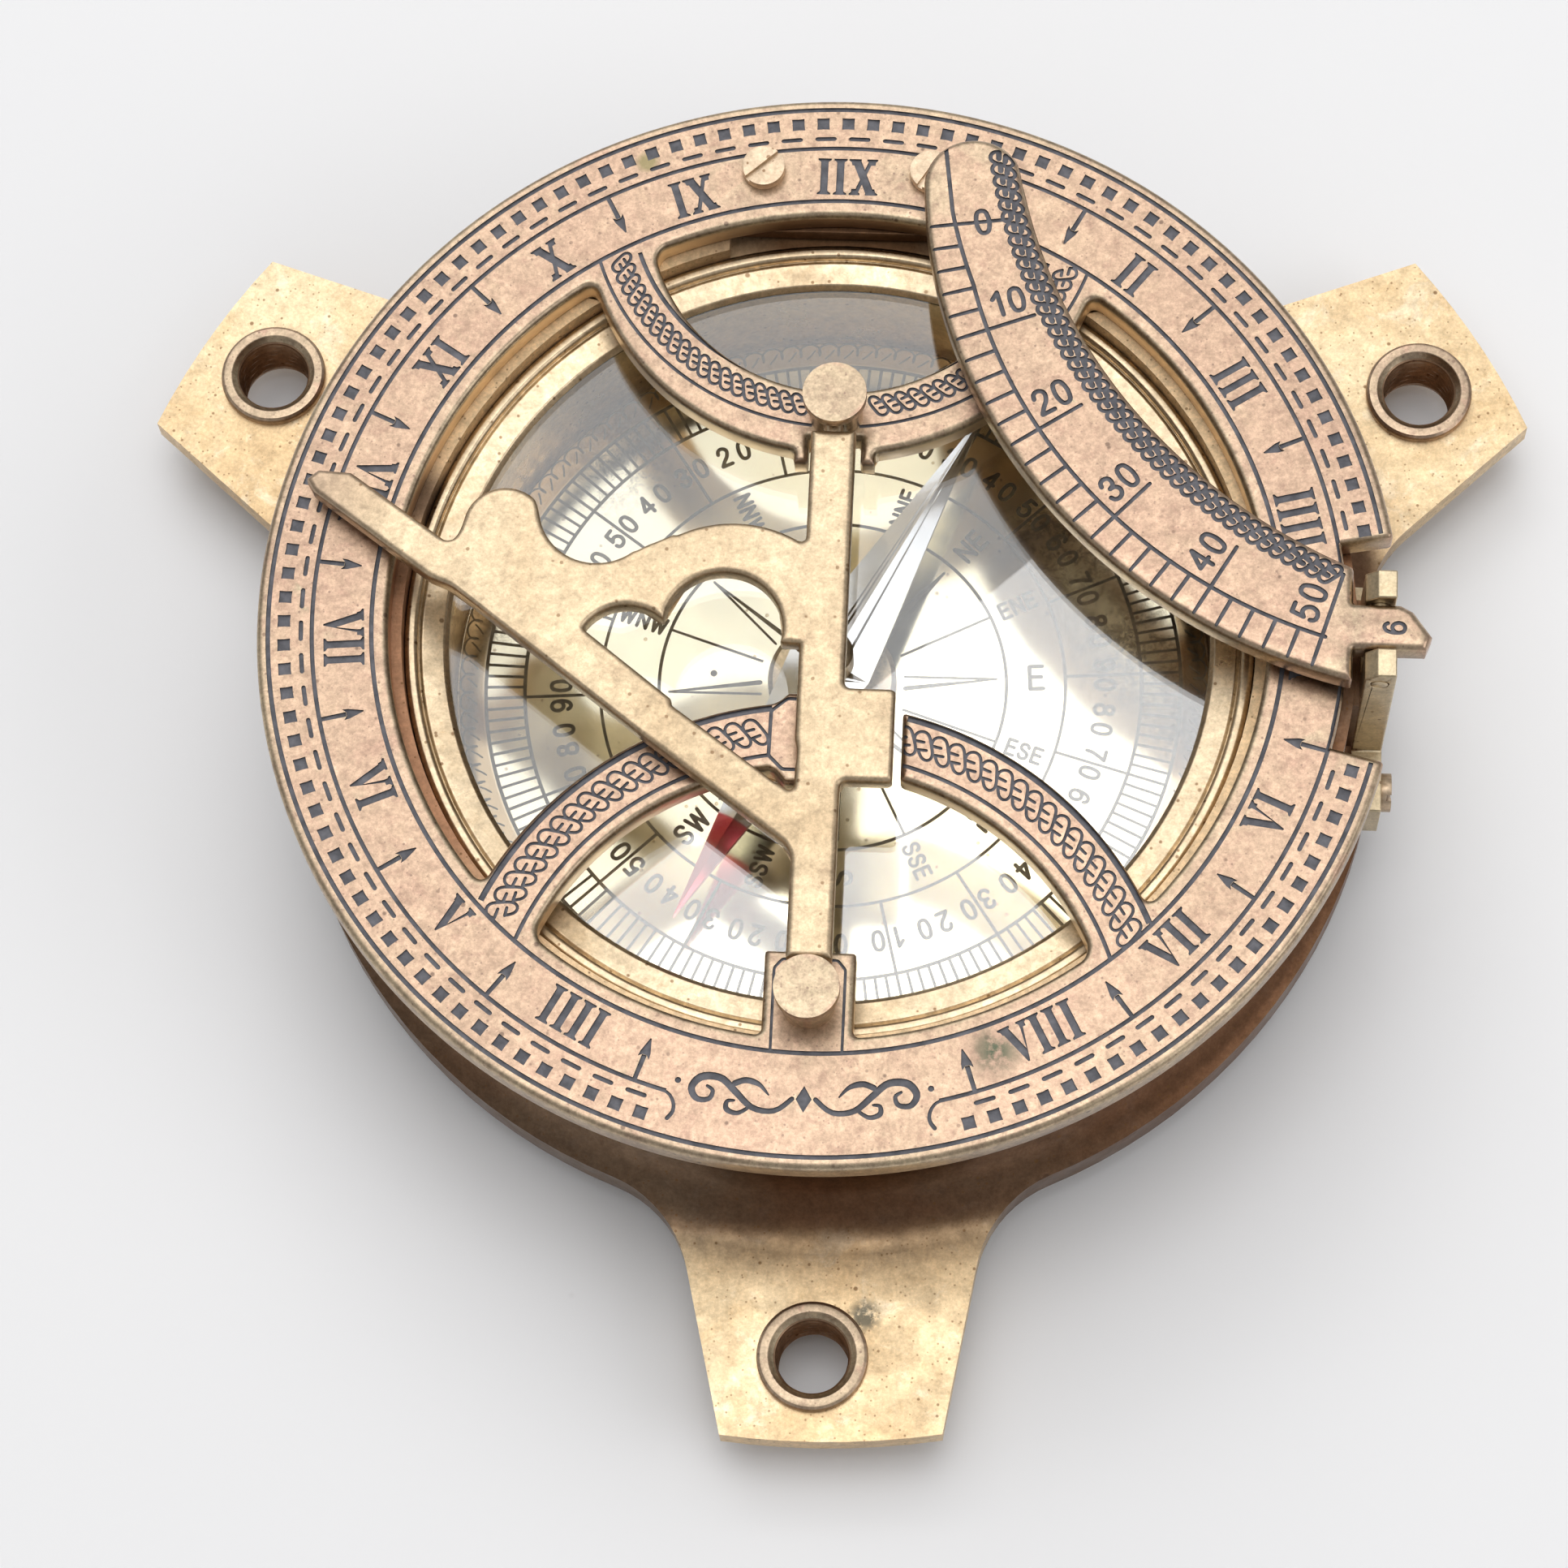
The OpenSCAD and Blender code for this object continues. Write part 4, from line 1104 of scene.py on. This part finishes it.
def card_engraving():
    """Degree ring with its figures, rose with its letters, and the wreath at the rim."""
    out = [circle_line(r, w) for r, w in ((34.6, 0.36), (30.7, 0.36), (23.15, 0.32), (17.3, 0.34))]
    for k in range(0, 360, 2):
        if k % 10:
            out += on_circle([tick(0.15, 30.75, 34.55)], 0, k + CARD_TURN)
    for k in range(36):
        a = k * 10 + CARD_TURN
        n = min(k * 10 % 180, 180 - k * 10 % 180)
        out += on_circle([tick(0.16, 23.2 if (n // 10) % 2 else 30.7, 34.55)], 0, a)
        if n == 0:
            out += on_circle(text_shapes("0", DIGIT_H, DIGIT_LINE), DIGIT_R, a)
            continue
        for s, digit in zip((-1, 1), "%02d" % n):
            out += on_circle(text_shapes(digit, DIGIT_H, DIGIT_LINE), DIGIT_R, a + s * 2.2)
    names = "N NNE NE ENE E ESE SE SSE S SSW SW WSW W WNW NW NNW"
    for k, text in enumerate(names.split()):
        a = k * 22.5 + CARD_TURN
        size = {1: 2.8, 2: 2.3, 3: 1.9}[len(text)]
        out += on_circle(text_shapes(text, size, 0.2 + size * 0.085, 0.3), 20.25, a,
                         -90 if k < 9 else 90)
        if k % 2:
            ray = [tick(0.14, 7.4, 17.25)]
        else:
            ray = [stroke([(-0.62, 7.2), (0, 16.3)], 0.26, 2),
                   stroke([(0.62, 7.2), (0, 16.3)], (0.5, 0.2), 2)]
        out += on_circle(ray, 0, a)
    leaf = [(1.05 * math.cos(t), 0.86 * math.sin(t)) for t in np.linspace(-0.5, 3.6, 12)]
    vein = [(-0.35, -0.75), (0.1, -0.35), (0.5, 0.15)]
    for k in range(118):
        a = k * 360 / 118
        out.append(stroke(wrapped(leaf, ORIGIN, WREATH_R, a), 0.2, 2))
        out.append(stroke(wrapped(vein, ORIGIN, WREATH_R, a), 0.18, 2))
    return out + [moved(dot(0.35), (-11.9, 0.9))]


def make_card(metal, fill):
    radius = mm_box("rose_card")[1][0]
    obj = engraved("engraved_card", "rose_card", lambda p: sd_circle(p, ORIGIN, radius), 0.15,
                   card_engraving(), 0.08, [metal, fill], step=0.4, low_edge=0.1)
    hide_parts("rose_card")
    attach(obj, "base")


# ---- the gnomon

def gnomon_field(p):
    bar = sd_poly(p, [(-50.7, 11.1), (-49.9, 9.8), (-38.1, 1.3), (-35.6, 0.3),
                      (-16.7, -14.2), (-1.6, -25.3), (-2, -19.6), (-36.6, 5),
                      (-46.4, 11.9), (-49.6, 12.1)])
    web = sd_poly(p, [(-37.6, 4.2), (-35.6, 0.6), (-16.7, -13.5), (-8.9, -4.2),
                      (-14.9, 6.25), (-18.2, 5), (-22.3, 6.9), (-27.4, 6.5),
                      (-31.2, 8.5), (-34.9, 6.2)])
    d = join(bar, web, 0.6)
    d = join(d, sd_circle(p, (-31.2, 6.8), 4), 1.2)
    swell = np.maximum(sd_circle(p, (-8.9, -4.2), 12),
                       sd_poly(p, [(-20, -8), (0, -16), (0, 12), (-20, 12)]))
    d = join(d, swell, 0.6)
    post_lo, post_hi = mm_box("pillar_south")[1][1], mm_box("pillar_north")[0][1]
    post = sd_box(p, (-2.15, post_lo + 0.2), (2.15, post_hi - 0.2))
    d = join(d, post, 0.9)
    tab = sd_box(p, (0, -18.1), (7.3, -8.7))
    tab = meet(tab, p[:, 0] - 7.3, 0.9)
    tab = np.maximum(tab, sd_box(p, (0.9, -17.2), (6.4, -9.6)) - 0.9)
    tab = np.minimum(tab, sd_box(p, (0, -18.1), (3, -8.7)))
    d = join(d, tab, 0.7)
    d = cut(d, sd_circle(p, (-22.3, 8.9), 5.6), 0.8)
    window = np.minimum(sd_circle(p, (-18.8, -5.8), 4.8), sd_circle(p, (-9.7, -3), 5.7))
    window = np.minimum(window, sd_poly(p, [(-23, -4.0), (-9, -14.9), (-4, -18.5),
                                            (-2.3, -16), (-2.3, -4.4), (-3.8, -4.35),
                                            (-9.7, -3), (-15.8, -2.2)]))
    wall = sd_poly(p, [(-40, 9.76), (-40, -21), (0, -21), (-4, -18.3)])
    window = cut(window, wall, 0.3)
    window = np.maximum(window, -sd_box(p, (-2.15, -40), (18, 20)))
    return cut(d, window, 0.5)


def make_gnomon(metal):
    """Cast gnomon, rounded on both faces, with its two trunnions."""
    lo, hi = mm_box("gnomon")
    obj = engraved("cast_gnomon", "gnomon", gnomon_field, 0.6, [], 0, [metal],
                   step=0.16, keep=0.5, low_edge=0.45)
    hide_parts("gnomon")
    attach(obj, "gnomon")
    axis_z = (lo[2] + hi[2]) / 2
    for name, y0, y1 in (("trunnion_north", mm_box("pillar_north")[0][1] - 0.7, hi[1]),
                         ("trunnion_south", lo[1], mm_box("pillar_south")[1][1] + 0.7)):
        r = 0.9
        prof = [(0, y0), (r - 0.15, y0), (r, y0 + 0.15), (r, y1 - 0.15), (r - 0.15, y1), (0, y1)]
        pin = turned_pin(name, prof, axis_z, metal)
        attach(pin, "gnomon")


def turned_pin(name, profile, axis_z, metal, steps=24):
    """A pin turned round an axis along Y at x = 0."""
    rows = [(r, y) for r, y in profile if r > 0]
    v, faces = [], []
    for r, y in rows:
        for k in range(steps):
            t = 2 * math.pi * k / steps
            v.append((r * math.cos(t), y, axis_z + r * math.sin(t)))
    for i in range(len(rows) - 1):
        for k in range(steps):
            m = (k + 1) % steps
            faces.append((i * steps + k, (i + 1) * steps + k, (i + 1) * steps + m, i * steps + m))
    faces.append(tuple(range(steps)))
    faces.append(tuple(range((len(rows) - 1) * steps, len(rows) * steps))[::-1])
    return new_object(name, np.array(v) * MM, faces, [metal], None, SHARP)


# ---- threaded bushes

BUSH_DIRS = (-60.8, 59.2, 179.2)
BUSH_CIRCLE = 67.6
BUSH_HOLE, BUSH_ROOT, BUSH_R = 3.4, 3.78, 5.35
THREAD_PITCH = 1.0
THREAD_TOP, THREAD_FOOT = 0.62, 0.5     # where the thread starts, inside the ends


def thread_radius(z, z0, z1, turn):
    """The thread's radius at a height and a share of a turn; it fades at both ends."""
    wave = abs(((z / THREAD_PITCH - turn) % 1.0) * 2 - 1)
    fade = min(1, (z1 - THREAD_TOP - z) / 0.4, (z - z0 - THREAD_FOOT) / 0.5)
    return BUSH_ROOT - (BUSH_ROOT - BUSH_HOLE) * (wave * fade + 0.5 * (1 - fade))


def make_bushes(metal, thread_metal):
    """Three bushes with a real screw thread inside."""
    lo, hi = mm_box("levelling_bushes")
    z0, z1 = lo[2], hi[2]
    steps, thread_rows = 72, 64
    outline = [(BUSH_HOLE + 0.35, z0), (BUSH_R - 0.3, z0), (BUSH_R, z0 + 0.3),
               (BUSH_R, z1 - 0.42), (BUSH_R - 0.08, z1 - 0.2), (BUSH_R - 0.32, z1 - 0.03),
               (BUSH_R - 0.45, z1), (BUSH_HOLE + 0.88, z1), (BUSH_HOLE + 0.8, z1 - 0.04),
               (BUSH_HOLE + 0.34, z1 - 0.52)]
    heights = np.linspace(z1 - THREAD_TOP, z0 + THREAD_FOOT, thread_rows)
    n = len(outline) + thread_rows
    objs = []
    for k, a in enumerate(BUSH_DIRS):
        cx, cy = polar(BUSH_CIRCLE, a)
        verts, faces = [], []
        for s in range(steps):
            t = 2 * math.pi * s / steps
            rows = outline + [(thread_radius(z, z0, z1, s / steps), z) for z in heights]
            verts += [(cx + r * math.cos(t), cy + r * math.sin(t), z) for r, z in rows]
            here, beside = s * n, (s + 1) % steps * n
            for j in range(n):
                m = (j + 1) % n
                faces.append((here + j, beside + j, beside + m, here + m))
        mat = [int(j >= len(outline) - 1) for _ in range(steps) for j in range(n)]
        objs.append(new_object("threaded_bush_%d" % (k + 1), np.array(verts) * MM, faces,
                               [metal, thread_metal], mat, 0.3))
    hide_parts("levelling_bushes")
    for obj in objs:
        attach(obj, "base")


# ---- carried-over CAD parts

def dress(node, material, bevel=0.15, segments=2, angle=35, weld_mm=0.002):
    """Gives a CAD node its material and softly broken edges."""
    obj = NODES[node]
    obj.data.materials.clear()
    obj.data.materials.append(material)
    weld = obj.modifiers.new("weld", "WELD")
    weld.merge_threshold = weld_mm * MM
    if bevel:
        b = obj.modifiers.new("edges", "BEVEL")
        b.width = bevel * MM
        b.segments = segments
        b.limit_method = "ANGLE"
        b.angle_limit = math.radians(angle)
        obj.modifiers.new("normals", "WEIGHTED_NORMAL").keep_sharp = False


# ---- camera, lights

CAMERA_AT = (21.9, -177.3, 487.0)
CAMERA_RIGHT = (0.9982, 0.0470, -0.0386)
CAMERA_UP = (-0.0315, 0.9427, 0.3321)
CAMERA_BACK = (0.0520, -0.3302, 0.9425)
LENS = 117.2


def make_camera():
    data = bpy.data.cameras.new("camera")
    cam = bpy.data.objects.new("camera", data)
    bpy.context.scene.collection.objects.link(cam)
    data.lens, data.sensor_width = LENS, 36
    data.clip_start, data.clip_end = 0.01, 20
    m = Matrix((CAMERA_RIGHT, CAMERA_UP, CAMERA_BACK)).transposed().to_4x4()
    m.translation = Vector(CAMERA_AT) * MM
    cam.matrix_world = m
    bpy.context.scene.camera = cam


def softbox(name, at, look, size, radiance, turn=0.0):
    """A rectangular panel that shines with one radiance and faces a point."""
    data = bpy.data.lights.new(name, "AREA")
    data.shape = "RECTANGLE"
    data.size, data.size_y = size
    data.energy = radiance * math.pi * size[0] * size[1]
    obj = bpy.data.objects.new(name, data)
    bpy.context.scene.collection.objects.link(obj)
    back = (Vector(at) - Vector(look)).normalized()
    turned = back.to_track_quat("Z", "Y").to_matrix() @ Matrix.Rotation(math.radians(turn), 3, "Z")
    obj.matrix_world = Matrix.Translation(at) @ turned.to_4x4()


def make_world(strength):
    world = bpy.data.worlds.new("studio")
    world.use_nodes = True
    bg = world.node_tree.nodes["Background"]
    bg.inputs["Color"].default_value = (1.0, 0.995, 0.99, 1)
    bg.inputs["Strength"].default_value = strength
    bpy.context.scene.world = world


def make_floor():
    size, n = 3.0, 24
    v = [(size * (i / n - 0.5), size * (j / n - 0.5), 0) for i in range(n + 1) for j in range(n + 1)]
    f = [(i * (n + 1) + j, (i + 1) * (n + 1) + j, (i + 1) * (n + 1) + j + 1, i * (n + 1) + j + 1)
         for i in range(n) for j in range(n)]
    floor = new_object("floor", v, f, [table_top("paper")])


def make_studio():
    """Even pale surroundings, a key panel and a small panel that the glass mirrors."""
    make_world(0.40)
    softbox("overhead", (-0.10, 0.36, 1.3), (0, 0, 0), (1.6, 1.4), 1.02)
    softbox("key", (-0.35, 1.3, 1.25), (0, 0, 0), (1.0, 0.9), 1.5)
    softbox("side_fill", (1.25, -0.4, 1.0), (0, 0, 0), (1.0, 0.8), 1.5)
    softbox("panel", (0.0136, 0.103, 1.024), (0.0136, 0.103, 0), (0.45, 0.45), 1.6, 43)


# ---- making

def main():
    bpy.context.scene.view_settings.view_transform = "Standard"
    bronze = bronzed("bronzed_brass")
    knob = bronzed("bronzed_knobs", stains=False, gold=0.15)
    fill = filled("engraving_fill")
    base = cast_brass("cast_brass")
    turned = plain_brass("turned_brass", (0.74, 0.59, 0.40), (0.44, 0.28, 0.13))
    screw = plain_brass("screw_brass", (0.66, 0.51, 0.36), (0.40, 0.26, 0.15))
    pale = plain_brass("filed_brass", (0.66, 0.54, 0.36), (0.42, 0.30, 0.16), (0.26, 0.4), 0.08)
    # Painted shade: the hinge leaves sit in the dark gap under the plate, so their brass is painted
    # near black.
    hinge_shade_brass = plain_brass("painted_shade_brass", (0.20, 0.11, 0.06), (0.10, 0.055, 0.03), (0.4, 0.6))
    # The bushes' threads take a darker bronze than their outsides.
    darkened = plain_brass("darker_bronze", (0.42, 0.27, 0.17), (0.22, 0.13, 0.08), (0.3, 0.5))
    make_dial(bronze, fill)
    make_arc(bronze, fill)
    make_card(polished("card_brass"), filled("card_fill", (0.10, 0.08, 0.045), (0.35, 0.55)))
    make_gnomon(satin_brass("satin_brass"))
    make_bushes(knob, darkened)
    for node, material, *edges in (
            ("base_casting", base, 0.22, 2, 50, 0.02), ("compass_bowl", turned, 0.1),
            ("needle_pivot", turned, 0), ("needle", steel("bright_steel", red_tip=True), 0),
            ("needle_cap", turned), ("glass_seal", rubber("seal_rubber"), 0),
            ("cover_glass", glass_material("clear_glass"), 0), ("bezel_ring", turned, 0.12),
            ("hinge_leaf_dial", hinge_shade_brass), ("hinge_leaf_base", hinge_shade_brass),
            ("hinge_pin", steel("wire_steel"), 0.1), ("dial_hinge_screws", screw, 0.15, 3),
            ("base_hinge_screws", screw), ("pillar_north", knob, 0.2, 3),
            ("pillar_south", knob, 0.2, 3), ("arc_bracket", pale, 0.3, 3),
            ("bracket_screws", screw), ("arc_pivot_pin", pale, 0.1)):
        dress(node, material, *edges)
    make_floor()
    make_camera()
    make_studio()


main()
